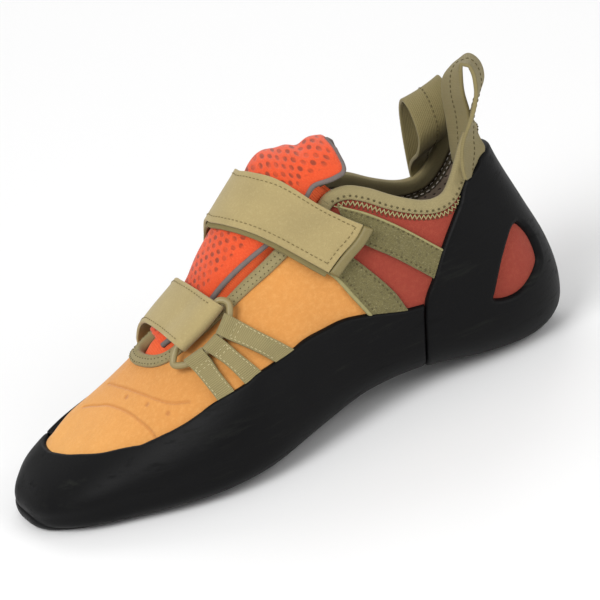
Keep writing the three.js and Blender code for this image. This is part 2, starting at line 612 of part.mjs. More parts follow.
function ringSolid() {
  const corner = ([s, v, t]) => over(s, v, mix(wireHeight, barHeight, t) + rise(s, v));
  const bar = bandLine(FRONT_STRAP);
  const places = [
    ...[1.04, 0.75, 0.5, 0.25, -0.04].map((across) => bandPoint(bar, FRONT_BAR, across, barHeight)),
    corner(RING_CORNERS[0]),
    ...WEBBING_EDGES.flatMap((table) => [0.12, 0.88].map((across) => bandPoint(bandLine(table), 0, across, wireHeight))),
    corner(RING_CORNERS[1]),
  ];
  const curve = new THREE.CatmullRomCurve3(places, true, "centripetal");
  const count = 26;
  const up = normal(7.7, 0.24);
  const rings = Array.from({ length: count }, (_, i) => {
    const t = i / count;
    const centre = curve.getPointAt(t);
    const tangent = curve.getTangentAt(t);
    const sideways = new THREE.Vector3().crossVectors(tangent, up).normalize();
    const top = new THREE.Vector3().crossVectors(sideways, tangent).normalize();
    return Array.from({ length: 6 }, (_, k) => {
      const a = (k / 6) * 2 * Math.PI;
      return centre.clone().addScaledVector(sideways, RING_WIRE * Math.cos(a)).addScaledVector(top, RING_WIRE * Math.sin(a));
    });
  });
  return loft(rings, { round: true });
}

// What lies on the upper ends just short of the rubber.
const rubberClear = overLine(RAND_TOP, [1, 2], GAP);
const heelClear = heelRegion(2 * GAP);
const onUpper = (geometry) => body(solid(geometry).intersect(rubberClear).subtract(heelClear));

const webbing = WEBBING_EDGES.map((table) =>
  onUpper(foldedBand(table, WEBBING, 2 * GAP, wireHeight,
    { folded: FAR, closes: 9, step: 4.5, shares: [0, 0.5, 1] })));
const frontStrap = onUpper(frontStrapWhole);

const patch = (table) =>
  onUpper(band(table, 1.3 * GAP, 1.3 * GAP + PATCH, evenly(0, bandLine(table).length, 7), evenly(0, 1, 2)));

// Tongue and insole

function tongueSolid() {
  const grids = [[], []];
  TONGUE_EDGE.forEach(([at, outer, inner]) => {
    // share between the edges, height over the last, thickness
    const flange = [-LEATHER - GAP - TAPE - 7 * GAP, TONGUE_FLANGE];
    const columns = [
      [inner - 0.07, flange], [inner - 0.014, flange], [inner, [-0.9, 2.6]],
      ...[0.12, 0.38, 0.64, 0.88].map((t) => [mix(inner, outer, t), [rise(at, mix(inner, outer, t)) + GAP, TONGUE]]),
      [outer, [-0.9, 2.6]], [outer + 0.014, flange], [outer + 0.07, flange],
    ];
    grids[0].push(columns.map(([v, [height, thick]]) => over(at, v, height - thick)));
    grids[1].push(columns.map(([v, [height]]) => over(at, v, height)));
  });
  return plate(grids[0], grids[1]);
}

function insoleSolid() {
  const ats = [2.9, 3.6, 4.4, 5.2, 6, 7, 8, 9, 10, 11, 11.8, 12.5, 13.1, 13.6];
  const grid = (height) =>
    ats.map((at) => Array.from({ length: 5 }, (_, k) => over(at, mix(0.75, 1.25, k / 4), height)));
  const rests = -LEATHER - 3.5 * GAP; // on the flange of the upper
  return plate(grid(rests - INSOLE), grid(rests));
}

// Pull loops

function loopSolid(table) {
  const read = (row, k) => new THREE.Vector3(row[k], row[k + 1], row[k + 2]);
  const places = new THREE.CatmullRomCurve3(
    table.map((row) => read(row, 0).multiply(new THREE.Vector3(LENGTH, WIDTH, HEIGHT))), false, "centripetal");
  const widths = new THREE.CatmullRomCurve3(table.map((row) => read(row, 3)), false, "centripetal");
  const count = 18;
  const grids = [[], []];
  for (let i = 0; i <= count; i += 1) {
    const t = i / count;
    const centre = places.getPoint(t);
    const across = widths.getPoint(t).normalize().multiplyScalar(LOOP_WIDTH / 2);
    const up = new THREE.Vector3().crossVectors(across, places.getTangent(t)).normalize().multiplyScalar(LOOP_WEBBING / 2);
    for (const [g, sign] of [[0, -1], [1, 1]])
      grids[g].push([-1, 1].map((k) => centre.clone().addScaledVector(across, k).addScaledVector(up, sign)));
  }
  return body(solid(plate(grids[0], grids[1])).subtract(loopClear));
}
const loopClear = last(() => GAP + TAPE + GAP).subtract(aboveCollar(TAPE + GAP))
  .add(rubber(HEEL_EDGE + GAP).intersect(heelRegion(GAP)));

// The scene graph

const looks = {
  sole: [0x1b1b1c, 0.6], rubber: [0x161617, 0.5], vamp: [0xe2a257, 0.85], tape: [0x8d8263, 0.8], tongue: [0xe85f33, 0.85],
  board: [0x7a7064, 0.9], strap: [0xb9a873, 0.8], patch: [0x77704a, 0.95], webbing: [0x978d62, 0.85], loop: [0xa8996b, 0.85],
  ring: [0x8d8058, 0.55], tab: [0x7a6e44, 0.55],
};

const shoe = new THREE.Group();
function add(name, geometry, look) {
  const [color, roughness] = looks[look];
  const flat = geometry.clone();
  flat.computeVertexNormals();
  const mesh = new THREE.Mesh(flat, new THREE.MeshStandardMaterial({ color, roughness, metalness: 0 }));
  mesh.name = name;
  shoe.add(mesh);
}

add("outsole", body(outsole), "sole");
add("rand", body(rand), "rubber");
add("heel_band", body(heelBand), "rubber");
add("upper", body(upper), "vamp");
add("collar_binding", body(collarBinding), "tape");
add("throat_binding", body(throatBinding), "tape");
add("insole", insoleSolid(), "board");
add("tongue", tongueSolid(), "tongue");
add("strap_instep", onUpper(instepTop), "strap");
add("strap_instep_under", instepUnder, "strap");
add("strap_tab", tab, "tab");
add("strap_front", frontStrap, "strap");
add("ring", ringSolid(), "ring");
webbing.forEach((geometry, i) => add(`webbing_${i + 1}`, geometry, "webbing"));
add("patch_upper", patch(PATCH_UPPER), "patch");
add("patch_lower", patch(PATCH_LOWER), "patch");
add("pull_loop_outer", loopSolid(LOOP_OUTER), "loop");
add("pull_loop_inner", loopSolid(LOOP_INNER), "loop");

// The origin is the middle of the footprint, on the floor.
const box = new THREE.Box3().setFromObject(shoe);
shoe.position.set(-(box.min.x + box.max.x) / 2, -(box.min.y + box.max.y) / 2, -box.min.z);

const part = new THREE.Group();
part.add(shoe);
export default part;
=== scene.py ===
# %% [markdown]
# A climbing shoe for the left foot, built in Blender around the solids of its CAD
# source. Each step below says what a piece is on the real shoe, how it could be
# made and why it is made this way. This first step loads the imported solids: the
# finer pieces take their places, and all of them ride on the shoe's one body.

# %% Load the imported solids
import math

import bpy
import numpy as np
from mathutils import Matrix, Vector


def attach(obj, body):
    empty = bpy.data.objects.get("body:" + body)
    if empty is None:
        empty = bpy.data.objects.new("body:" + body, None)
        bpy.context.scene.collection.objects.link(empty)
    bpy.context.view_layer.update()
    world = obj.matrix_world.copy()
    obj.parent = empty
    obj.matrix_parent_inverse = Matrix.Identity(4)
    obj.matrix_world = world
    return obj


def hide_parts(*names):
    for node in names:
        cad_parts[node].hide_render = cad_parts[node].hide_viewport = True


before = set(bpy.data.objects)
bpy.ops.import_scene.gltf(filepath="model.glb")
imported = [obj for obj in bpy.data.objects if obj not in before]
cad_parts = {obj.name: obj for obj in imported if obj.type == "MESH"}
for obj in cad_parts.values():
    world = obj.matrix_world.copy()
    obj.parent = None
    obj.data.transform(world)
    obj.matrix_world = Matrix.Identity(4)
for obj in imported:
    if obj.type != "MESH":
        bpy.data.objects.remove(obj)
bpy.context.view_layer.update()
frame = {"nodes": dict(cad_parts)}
scene = bpy.context.scene
collection = scene.collection

# The sections count x from the heel's back; the row's origin is the middle of
# its footprint.
SHIFT = np.array([-117.083, -1.555, 0.0])
print("solids:", ", ".join(frame["nodes"]))

# %% [markdown]
# The photograph looks at the outer side of the shoe from above the toe, a little
# rolled. A camera could be placed by hand, but numbers are easier to correct: a
# turn round the shoe, a height, a roll, a scale and a distance, found by laying
# the sole's outline over the picture.

# %% The camera
AZIMUTH, ELEVATION, ROLL = 7.84, 26.42, 18.62
PIXELS_PER_MM, DISTANCE = 2.4914, 1249.9
CENTRE_PX = (267.9, 329.0)
TARGET = np.array([117.6, 0.0, 42.5]) + SHIFT

a, e, r = (math.radians(k) for k in (AZIMUTH, ELEVATION, ROLL))
toward = np.array([math.sin(a) * math.cos(e), math.cos(a) * math.cos(e), math.sin(e)])
flat_right = np.array([-math.cos(a), math.sin(a), 0.0])
flat_up = np.cross(toward, flat_right)
flat_up = flat_up if flat_up[2] > 0 else -flat_up
right = flat_right * math.cos(r) - flat_up * math.sin(r)
up = flat_right * math.sin(r) + flat_up * math.cos(r)

lens = bpy.data.cameras.new("camera")
lens.sensor_width = 36.0
lens.lens = PIXELS_PER_MM * DISTANCE / 600 * 36
lens.shift_x = (300 - CENTRE_PX[0]) / 600
lens.shift_y = (CENTRE_PX[1] - 300) / 600
lens.clip_end = 20
camera = bpy.data.objects.new("camera", lens)
collection.objects.link(camera)
turn = Matrix((right, up, toward)).transposed().to_4x4()
camera.matrix_world = Matrix.Translation(Vector((TARGET + toward * DISTANCE) / 1000)) @ turn
scene.camera = camera
print(f"camera: {lens.lens:.0f} mm lens, {DISTANCE / 1000:.2f} m away")

# %% [markdown]
# A shoe is made round a last, a solid foot form. Here it is a table of sections
# from the toe's tip to the ankle. It could be sculpted, but with a table each
# layer of leather and rubber is the same surface, lifted by its own thickness,
# so that the layers can't cut through one another.

# %% Sizes and the last's sections
LENGTH, WIDTH, HEIGHT = 234.0, 82.0, 92.0
LEATHER, RAND, SOLE, SOLE_EDGE, HEEL_EDGE = 2.0, 2.3, 4.9, 0.8, 0.5
TAPE, STRAP, PATCH, WEBBING, LOOP_WEBBING, WIRE, GAP = 1.1, 1.4, 1.2, 1.1, 1.7, 1.4, 0.3
TONGUE = 4.0
LOOP_WIDTH = 18.0
LEAN = 0.16

# bottomX bottomZ ridgeX ridgeZ outer inner ridgeY belt crown base
SECTIONS = np.array([
    [0.9987, 0.0717, 0.9987, 0.0717, -0.1524, -0.1524, -0.1524, 0.5, 2, 2],
    [0.994, 0.0533, 0.994, 0.0978, -0.0671, -0.2293, -0.1768, 0.45, 2, 2.6],
    [0.9812, 0.0518, 0.9799, 0.1283, 0.0687, -0.311, -0.197, 0.4, 2.1, 3.4],
    [0.9551, 0.0518, 0.9509, 0.1848, 0.1766, -0.3939, -0.2096, 0.36, 2.1, 3.8],
    [0.9034, 0.0518, 0.8974, 0.2587, 0.291, -0.45, -0.2033, 0.33, 2.1, 4],
    [0.8323, 0.0518, 0.8274, 0.3543, 0.38, -0.4756, -0.1906, 0.3, 2, 4],
    [0.7524, 0.0518, 0.7436, 0.4739, 0.4689, -0.4817, -0.1716, 0.28, 1.9, 4],
    [0.6735, 0.0533, 0.6607, 0.6043, 0.5195, -0.4622, -0.1463, 0.27, 1.8, 4],
    [0.5874, 0.0641, 0.5786, 0.737, 0.5134, -0.4183, -0.1207, 0.27, 1.75, 3.6],
    [0.4863, 0.1, 0.5068, 0.8891, 0.4305, -0.361, -0.0951, 0.27, 1.75, 3.2],
    [0.3795, 0.1337, 0.4538, 1.0043, 0.3439, -0.3232, -0.0768, 0.28, 1.8, 3],
    [0.2662, 0.1217, 0.4154, 1.0717, 0.3049, -0.3037, -0.0634, 0.3, 1.85, 3],
    [0.159, 0.0707, 0.3803, 1.0978, 0.3098, -0.2976, -0.0573, 0.33, 1.9, 2.9],
    [0.0718, 0.0522, 0.3496, 1.113, 0.3122, -0.2915, -0.0512, 0.37, 2, 2.6],
    [0.0197, 0.1033, 0.3197, 1.1185, 0.3, -0.2841, -0.0439, 0.4, 2, 2.4],
    [0.0009, 0.2174, 0.2923, 1.1239, 0.2829, -0.272, -0.0378, 0.42, 2, 2.3],
    [0.0042, 0.3967, 0.2679, 1.1326, 0.2549, -0.2402, -0.0256, 0.44, 2, 2.3],
    [0.0256, 0.6141, 0.2474, 1.1391, 0.2244, -0.2085, -0.0122, 0.46, 2, 2.3],
    [0.0496, 0.8533, 0.2303, 1.1522, 0.2, -0.189, 0, 0.47, 2, 2.3],
    [0.0654, 1.1196, 0.2167, 1.1793, 0.1817, -0.1707, 0, 0.48, 2, 2.3],
])
SECTIONS = SECTIONS * np.array([LENGTH, HEIGHT, LENGTH, HEIGHT, WIDTH, WIDTH, WIDTH, 1, 1, 1])
LAST_ROW = len(SECTIONS) - 1
print("sections of the last:", len(SECTIONS))

# %% Reading between the sections

def spline(rows, s):
    """Rows read at row numbers s along a smooth curve through them."""
    s = np.asarray(s, float)
    i = np.clip(np.floor(s).astype(int), 0, len(rows) - 2)
    f = (s - i)[:, None]
    before = rows[1].copy()
    before[:7] = 2 * rows[0, :7] - rows[1, :7]
    padded = np.vstack([before, rows, rows[-1]])
    p0, p1, p2, p3 = (padded[i + k] for k in range(4))
    return p1 + 0.5 * f * (p2 - p0 + f * (2 * p0 - 5 * p1 + 4 * p2 - p3 + f * (3 * (p1 - p2) + p3 - p0)))


def half_sections(s, side, dense=97):
    """Half sections from the ridge to the bottom: X, Y, Z rows.

    A quarter turn q runs over the upper part, where the width is sin(q)^(2/crown)
    and the height cos(q)^(2/crown), and another one over the lower part with the
    base power. Both meet at the belt, where the section is widest.
    """
    c = spline(SECTIONS, s)
    bx, bz, tx, tz, outer, inner, ridge, belt, crown, base = (c[:, k][:, None] for k in range(10))
    wide = outer if side > 0 else inner
    middle = 0.45 * (outer + inner)
    q = np.linspace(0, np.pi / 2, dense)[None, :]
    sin, cos = np.clip(np.sin(q), 0, 1), np.clip(np.cos(q), 0, 1)
    y1 = ridge + (wide - ridge) * sin ** (2 / crown)
    h1 = belt + (1 - belt) * cos ** (2 / crown)
    y2 = middle + (wide - middle) * cos ** (2 / base)
    h2 = belt - belt * sin ** (2 / base)
    y = np.concatenate([y1, y2[:, 1:]], 1)
    h = np.concatenate([h1, h2[:, 1:]], 1)
    return bx + (tx - bx) * h, y, bz + (tz - bz) * h

# %% The last as a table of points and normals
# The last is tabled once on a fine lattice: row number by half-girth share,
# from -1 under the foot over the inner side, 0 at the ridge, to 1 again.
S_STEP, V_STEP = 0.025, 0.002
S_LATTICE = np.arange(0, LAST_ROW + S_STEP / 2, S_STEP)
V_LATTICE = np.linspace(-1, 1, int(round(2 / V_STEP)) + 1)


def tabled():
    """The last's points: each half section read at even shares of its own girth."""
    out = np.zeros((len(S_LATTICE), len(V_LATTICE), 3))
    for side in (1, -1):
        x, y, z = half_sections(S_LATTICE, side)
        step = np.sqrt(np.diff(x) ** 2 + np.diff(y) ** 2 + np.diff(z) ** 2)
        run = np.concatenate([np.zeros((len(x), 1)), np.cumsum(step, 1)], 1)
        share = run / np.maximum(run[:, -1:], 1e-9)
        columns = np.where(V_LATTICE * side >= -1e-12)[0]
        for i in range(len(x)):
            for k, values in enumerate((x, y, z)):
                out[i, columns, k] = np.interp(np.abs(V_LATTICE[columns]), share[i], values[i])
    return out


LAST = tabled()
D_S = np.gradient(LAST, S_STEP, axis=0)
D_V = np.gradient(LAST, V_STEP, axis=1)
D_V[:, 0] = D_V[:, -1] = (LAST[:, 1] - LAST[:, -2]) / (2 * V_STEP)
NORMAL = -np.cross(D_S, D_V)
NORMAL[:3] = NORMAL[3]
NORMAL /= np.maximum(np.linalg.norm(NORMAL, axis=2, keepdims=True), 1e-9)
if NORMAL[320, 750, 1] < 0:
    NORMAL = -NORMAL
# At the toe's tip all columns meet in one point, so they share one normal there
TIP = NORMAL[3].mean(0) / np.linalg.norm(NORMAL[3].mean(0))
near_tip = np.clip(np.arange(16) / 15, 0, 1)[:, None, None]
NORMAL[:16] = TIP * (1 - near_tip) + NORMAL[:16] * near_tip
NORMAL[:16] /= np.linalg.norm(NORMAL[:16], axis=2, keepdims=True)
print("the last spans, in mm:", np.ptp(LAST, axis=(0, 1)).round(1))


def read(table, s, v):
    """A lattice table read between its points; v may run past the bottom."""
    v = (np.asarray(v, float) + 1) % 2 - 1
    i = np.clip(np.asarray(s, float) / S_STEP, 0, len(S_LATTICE) - 1.001)
    k = np.clip((v + 1) / V_STEP, 0, len(V_LATTICE) - 1.001)
    i0, k0 = i.astype(int), k.astype(int)
    f, g = i - i0, k - k0
    if table.ndim == 3:
        f, g = f[..., None], g[..., None]
    return (table[i0, k0] * (1 - f) * (1 - g) + table[i0 + 1, k0] * f * (1 - g)
            + table[i0, k0 + 1] * (1 - f) * g + table[i0 + 1, k0 + 1] * f * g)


def on_last(s, v, height=0.0):
    """A place on the last plus its outward normal times the height, and that normal."""
    n = read(NORMAL, s, v)
    n /= np.maximum(np.linalg.norm(n, axis=-1, keepdims=True), 1e-9)
    return read(LAST, s, v) + n * np.asarray(height, float)[..., None], n

# %% How far the tongue lifts the straps
# How far tongue and straps rise over the last along the instep
RISE = np.array([
    [6.0, 0.0], [6.8, 0.022], [7.2, 0.031], [7.7, 0.036], [7.9, 0.045], [8.25, 0.072], [8.8, 0.084],
    [9.9, 0.091], [10.5, 0.098], [11.0, 0.12], [11.4, 0.13], [11.8, 0.112], [12.3, 0.096],
    [13.4, 0.083], [14.5, 0.065], [19.0, 0.054]])


def rise(s, v):
    """The lift in millimetres: the table read at s, averaged over five near rows,
    times a bell with a flat top, exp(-(v / 0.21)^4), across the instep.
    """
    s = np.asarray(s, float)
    knots = sum(np.interp(s + k, RISE[:, 0], RISE[:, 1]) for k in (-0.2, -0.1, 0, 0.1, 0.2)) / 5
    return knots * HEIGHT * np.exp(-((np.abs(np.asarray(v) + 0.03) / 0.21) ** 4))


# %% [markdown]
# The edges of the rand, the heel band, its windows and the collar are lines drawn
# on the last. They could be cut with knives, as booleans are, but here each edge
# is a field: a signed distance in millimetres that is zero on the edge. A field
# cuts a sheet cleanly and also rounds its edge.

# %% Edge lines, as shares of the last's length, width and height
COLLAR = [
    [-0.12, 1.08], [0.02, 1.07], [0.06, 1.05], [0.094, 0.985], [0.112, 0.93], [0.13, 0.872],
    [0.153, 0.815], [0.173, 0.802], [0.192, 0.811], [0.211, 0.833], [0.244, 0.887],
    [0.269, 0.938], [0.284, 0.962], [0.309, 0.993], [0.345, 0.993], [0.42, 0.993]]
RAND_TOP = np.array([  # x, z outer, z inner
    [0.19, 0.41, 0.39], [0.25, 0.429, 0.4], [0.281, 0.438, 0.41], [0.314, 0.461, 0.42],
    [0.347, 0.487, 0.43], [0.39, 0.514, 0.44], [0.429, 0.517, 0.45], [0.467, 0.517, 0.45],
    [0.5, 0.5, 0.445], [0.562, 0.476, 0.43], [0.587, 0.455, 0.425], [0.647, 0.418, 0.41],
    [0.703, 0.368, 0.39], [0.752, 0.333, 0.352], [0.795, 0.303, 0.306], [0.838, 0.27, 0.276],
    [0.87, 0.235, 0.254], [0.893, 0.22, 0.234], [0.913, 0.205, 0.214], [0.925, 0.2, 0.2], [1.1, 0.2, 0.2]])
# How far forward the vamp shows over the toes, in plan
RAND_FRONT = [  # y, x
    [-0.5, 0.86], [-0.41, 0.9], [-0.33, 0.918], [-0.25, 0.923], [-0.166, 0.92], [-0.117, 0.914],
    [-0.065, 0.906], [0.006, 0.893], [0.082, 0.874], [0.138, 0.858], [0.188, 0.84], [0.26, 0.806],
    [0.327, 0.775], [0.38, 0.757], [0.44, 0.745], [0.6, 0.735]]
RAND_INNER_Y, RAND_OUTER_Y = -0.3, -0.16
SOLE_TOP = [
    [-0.1, 0.072], [0.07, 0.068], [0.18, 0.089], [0.28, 0.136], [0.385, 0.147],
    [0.483, 0.112], [0.6, 0.072], [0.7, 0.066], [0.92, 0.066], [1.1, 0.07]]
HEEL_BAND = [
    [-0.15, -0.3], [0.285, -0.3], [0.27, 0.18], [0.25, 0.382], [0.224, 0.483], [0.193, 0.599],
    [0.159, 0.702], [0.138, 0.76], [0.12, 0.828], [0.09, 0.876], [0.053, 0.92], [-0.15, 0.93]]
WINDOW = [
    [0.132, 0.325], [0.127, 0.36], [0.1, 0.478], [0.078, 0.55], [0.063, 0.583], [0.051, 0.575],
    [0.037, 0.495], [0.034, 0.401], [0.043, 0.36], [0.074, 0.311], [0.102, 0.301]]
THROAT = np.array([  # section, outer edge, inner edge
    [6.27, 0.0, -0.045], [6.34, 0.035, -0.065], [6.45, 0.08, -0.085], [6.6, 0.115, -0.1],
    [6.86, 0.139, -0.11], [7.5, 0.153, -0.117], [8.27, 0.167, -0.125], [9.74, 0.2, -0.145],
    [11.2, 0.18, -0.155], [12.6, 0.135, -0.15], [14.5, 0.135, -0.15]])

# %% Curves and distances

def curve(points, t, closed=False):
    """A smooth curve through a short table, read at shares t of its spans.

    Between two rows it is a cubic whose slope at a row is half the step from the
    row before to the row after.
    """
    p = np.asarray(points, float)
    ext = np.vstack([p[-1], p, p[:2]]) if closed else np.vstack([2 * p[0] - p[1], p, 2 * p[-1] - p[-2]])
    n = len(p) if closed else len(p) - 1
    t = np.asarray(t, float) * n
    i = np.clip(t.astype(int), 0, n - 1)
    f = (t - i)[:, None]
    a, b, c, d = (ext[i + k] for k in range(4))
    return 0.5 * (2 * b + (c - a) * f + (2 * a - 5 * b + 4 * c - d) * f**2 + (3 * b - a - 3 * c + d) * f**3)


def smooth(points, count, closed=False):
    """The same curve with evenly spread points."""
    return even(curve(points, np.linspace(0, 1, 1200), closed), count)


def even(points, count, measure=None):
    """The same line with evenly spaced points."""
    m = points if measure is None else measure
    run = np.concatenate([[0], np.cumsum(np.linalg.norm(np.diff(m, axis=0), axis=1))])
    at = np.linspace(0, run[-1], count)
    return np.stack([np.interp(at, run, points[:, k]) for k in range(points.shape[1])], 1)


def polygon_distance(x, z, corners):
    """Signed distance to a closed outline, negative inside."""
    best = np.full(x.shape, 1e9)
    inside = np.zeros(x.shape, bool)
    for (x0, z0), (x1, z1) in zip(corners, np.roll(corners, -1, axis=0)):
        ex, ez = x1 - x0, z1 - z0
        t = np.clip(((x - x0) * ex + (z - z0) * ez) / max(ex * ex + ez * ez, 1e-12), 0, 1)
        best = np.minimum(best, (x - x0 - t * ex) ** 2 + (z - z0 - t * ez) ** 2)
        if z0 != z1:
            inside ^= ((z0 > z) != (z1 > z)) & (x < x0 + (z - z0) / (z1 - z0) * ex)
    return np.where(inside, -1, 1) * np.sqrt(best)


E, F, G = (D_S**2).sum(2), (D_S * D_V).sum(2), (D_V**2).sum(2)
AREA = np.maximum(E * G - F * F, 1e-3)


def along_surface(field, least=0.15):
    """Turns a field into millimetres along the surface near its zero line.

    The field is divided by its slope, and the slope comes from the surface's
    own lengths: the dot products E, F and G of its two step directions.
    """
    fs = np.gradient(field, S_STEP, axis=0)
    fv = np.gradient(field, V_STEP, axis=1)
    slope = np.sqrt(np.maximum(G * fs * fs - 2 * F * fs * fv + E * fv * fv, 0) / AREA)
    return field / np.clip(slope, least, 3.0)

# %% The fields of all edges
X, Y, Z = LAST[..., 0], LAST[..., 1], LAST[..., 2]
MM = np.array([LENGTH, HEIGHT])
blend = np.clip((Y / WIDTH - RAND_INNER_Y) / (RAND_OUTER_Y - RAND_INNER_Y), 0, 1)
blend = blend * blend * (3 - 2 * blend)
rand_line = [smooth(RAND_TOP[:, [0, k]], 200) for k in (1, 2)]
top_outer = np.interp(X / LENGTH, rand_line[0][:, 0], rand_line[0][:, 1])
top_inner = np.interp(X / LENGTH, rand_line[1][:, 0], rand_line[1][:, 1])
front_line = smooth(RAND_FRONT, 120)
ahead_of_front = LENGTH * np.interp(Y / WIDTH, front_line[:, 0], front_line[:, 1]) - X
RAND_FIELD = along_surface(np.minimum(
    Z - HEIGHT * (top_inner + (top_outer - top_inner) * blend), 0.6 * ahead_of_front), 0.4)
sole_line = smooth(SOLE_TOP, 120)
SOLE_FIELD = Z - HEIGHT * np.interp(X / LENGTH, sole_line[:, 0], sole_line[:, 1])
HEEL_FIELD = along_surface(polygon_distance(
    X, Z - LEAN * Y, np.vstack([np.array(HEEL_BAND[:2]), smooth(HEEL_BAND[2:], 70)]) * MM))
WINDOW_FIELD = along_surface(polygon_distance(X, Z, smooth(WINDOW, 60, closed=True)[:-1] * MM))
collar_corners = np.vstack([smooth(COLLAR, 110), [[0.42, 3.0], [-0.12, 3.0]]]) * MM
COLLAR_FIELD = along_surface(polygon_distance(X, Z - LEAN * Y, collar_corners))
throat_corners = np.vstack([
    smooth(THROAT[:, [0, 1]], 90), smooth(THROAT[:, [0, 2]], 90)[::-1]])
S_MESH, V_MESH = np.meshgrid(S_LATTICE, V_LATTICE, indexing="ij")
THROAT_FIELD = along_surface(polygon_distance(S_MESH * 18, V_MESH * 118, throat_corners * [18, 118]))
print(f"under the rand: {(RAND_FIELD < 0).mean():.0%} of the lattice")

# %% Two ways to fade

def bump(t):
    """0 to 1 as a quarter circle, sqrt(1 - (1 - t)^2), for rounded edges."""
    t = np.clip(t, 0, 1)
    return np.sqrt(1 - (1 - t) ** 2)


def ease(t):
    """0 to 1 with level ends: 3 t^2 - 2 t^3."""
    t = np.clip(t, 0, 1)
    return t * t * (3 - 2 * t)


# %% [markdown]
# Leather and rubber are sheets. A sheet is a grid of places on the last whose
# triangles are split exactly where a field passes a level, so that its edge
# follows the line instead of the grid's steps. All points are worked out at once.

# %% Sheets cut along fields
class Sheet:
    """A grid of places on the last and its triangles."""
    def __init__(self, rows, columns):
        """Every row number is crossed with every share of the girth."""
        s, v = np.meshgrid(rows, columns, indexing="ij")
        self.s, self.v = s.ravel(), v.ravel()
        ns, nv = len(rows), len(columns)
        a = (np.arange(ns - 1)[:, None] * nv + np.arange(nv - 1)[None, :]).ravel()
        self.faces = np.concatenate([
            np.stack([a, a + nv, a + nv + 1], 1), np.stack([a, a + nv + 1, a + 1], 1)])

    def value(self, field):
        """A lattice field at every place of the sheet."""
        return read(field, self.s, self.v)

    def split(self, field, level=0.0):
        """New points where the field passes a level; every face ends on one side."""
        f = self.value(field) - level
        f = np.where(np.abs(f) < 1e-4, 1e-4, f)
        faces = self.faces
        plus = (f > 0)[faces]
        total = plus.sum(1)
        whole = (total == 0) | (total == 3)
        cut = faces[~whole]
        if not len(cut):
            return self
        lone = np.where(total[~whole] == 1, plus[~whole].argmax(1), (~plus[~whole]).argmax(1))
        k = np.arange(len(cut))
        a, b, c = cut[k, lone], cut[k, (lone + 1) % 3], cut[k, (lone + 2) % 3]
        edges = np.sort(np.concatenate([np.stack([a, b], 1), np.stack([a, c], 1)]), axis=1)
        unique, back = np.unique(edges, axis=0, return_inverse=True)
        back = back.ravel()
        t = np.clip(f[unique[:, 0]] / (f[unique[:, 0]] - f[unique[:, 1]]), 0.01, 0.99)
        start = len(self.s)
        self.s = np.concatenate([self.s, self.s[unique[:, 0]] * (1 - t) + self.s[unique[:, 1]] * t])
        self.v = np.concatenate([self.v, self.v[unique[:, 0]] * (1 - t) + self.v[unique[:, 1]] * t])
        p, q = start + back[: len(cut)], start + back[len(cut):]
        self.faces = np.concatenate([
            faces[whole], np.stack([a, p, q], 1), np.stack([p, b, c], 1), np.stack([p, c, q], 1)])
        return self

    def keep(self, field, level=0.0, above=True):
        """Splits along a level and drops the faces on its other side."""
        self.split(field, level)
        s, v = self.s[self.faces].mean(1), self.v[self.faces].mean(1)
        f = read(field, s, v) - level
        self.faces = self.faces[(f > 0) if above else (f < 0)]
        return self

    def tidy(self):
        """Drops the places that no face uses."""
        used, back = np.unique(self.faces, return_inverse=True)
        self.s, self.v = self.s[used], self.v[used]
        self.faces = back.reshape(-1, 3)
        return self

# %% From points to finished pieces

def mesh_object(name, points, faces, smooth_faces=True, **attributes):
    """A mesh from points in millimetres of the last and its faces."""
    name = f"{name}_fine" if name in frame["nodes"] else name
    mesh = bpy.data.meshes.new(name)
    mesh.from_pydata(((np.asarray(points) + SHIFT) / 1000).tolist(), [], [list(map(int, f)) for f in faces])
    for key, values in attributes.items():
        values = np.asarray(values, float)
        if values.ndim == 1:
            mesh.attributes.new(key, "FLOAT", "POINT").data.foreach_set("value", values)
        else:
            mesh.attributes.new(key, "FLOAT_VECTOR", "POINT").data.foreach_set("vector", values.ravel())
    mesh.polygons.foreach_set("use_smooth", [smooth_faces] * len(mesh.polygons))
    mesh.update()
    obj = bpy.data.objects.new(name, mesh)
    collection.objects.link(obj)
    return obj


def finish_piece(obj, material, slot, *nodes):
    """Gives a piece its material and body, and hides the solids that it stands for; the slot is not used."""
    obj.data.materials.append(material)
    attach(obj, "root")
    if nodes:
        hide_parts(*nodes)
    print(f"{obj.name}: {len(obj.data.polygons)} faces of {material.name}")
    return obj


def sheet_object(name, sheet, height, flip=False, shape=None, **attributes):
    """A sheet lifted over the last by its height, with faces turned outwards or inwards."""
    sheet.tidy()
    points, n = on_last(sheet.s, sheet.v, height(sheet) if callable(height) else height)
    if shape is not None:
        points = shape(points, n, sheet)
    faces = sheet.faces
    a, b, c = (points[faces[:, k]] for k in range(3))
    facing = (np.cross(b - a, c - a) * n[faces[:, 0]]).sum(1)
    turned = facing.sum() < 0
    if turned != flip:
        faces = faces[:, ::-1]
    data = {k: (f(sheet) if callable(f) else sheet.value(f)) for k, f in attributes.items()}
    return mesh_object(name, points, faces, **data)


# %% [markdown]
# Straps, webbing and the patch's arms are bands. A band lies between two edge
# lines on the last and is read by the millimetre along it and by a share across
# it, so that its stitches and its fabric's ribs follow it.

# %% Bands on the last
def lengths_of(points):
    """Running length along a line of points: the sum of its steps."""
    return np.concatenate([[0], np.cumsum(np.linalg.norm(np.diff(points, axis=0), axis=1))])


def unit(a):
    """Vectors divided by their own length."""
    return a / np.maximum(np.linalg.norm(a, axis=-1, keepdims=True), 1e-9)


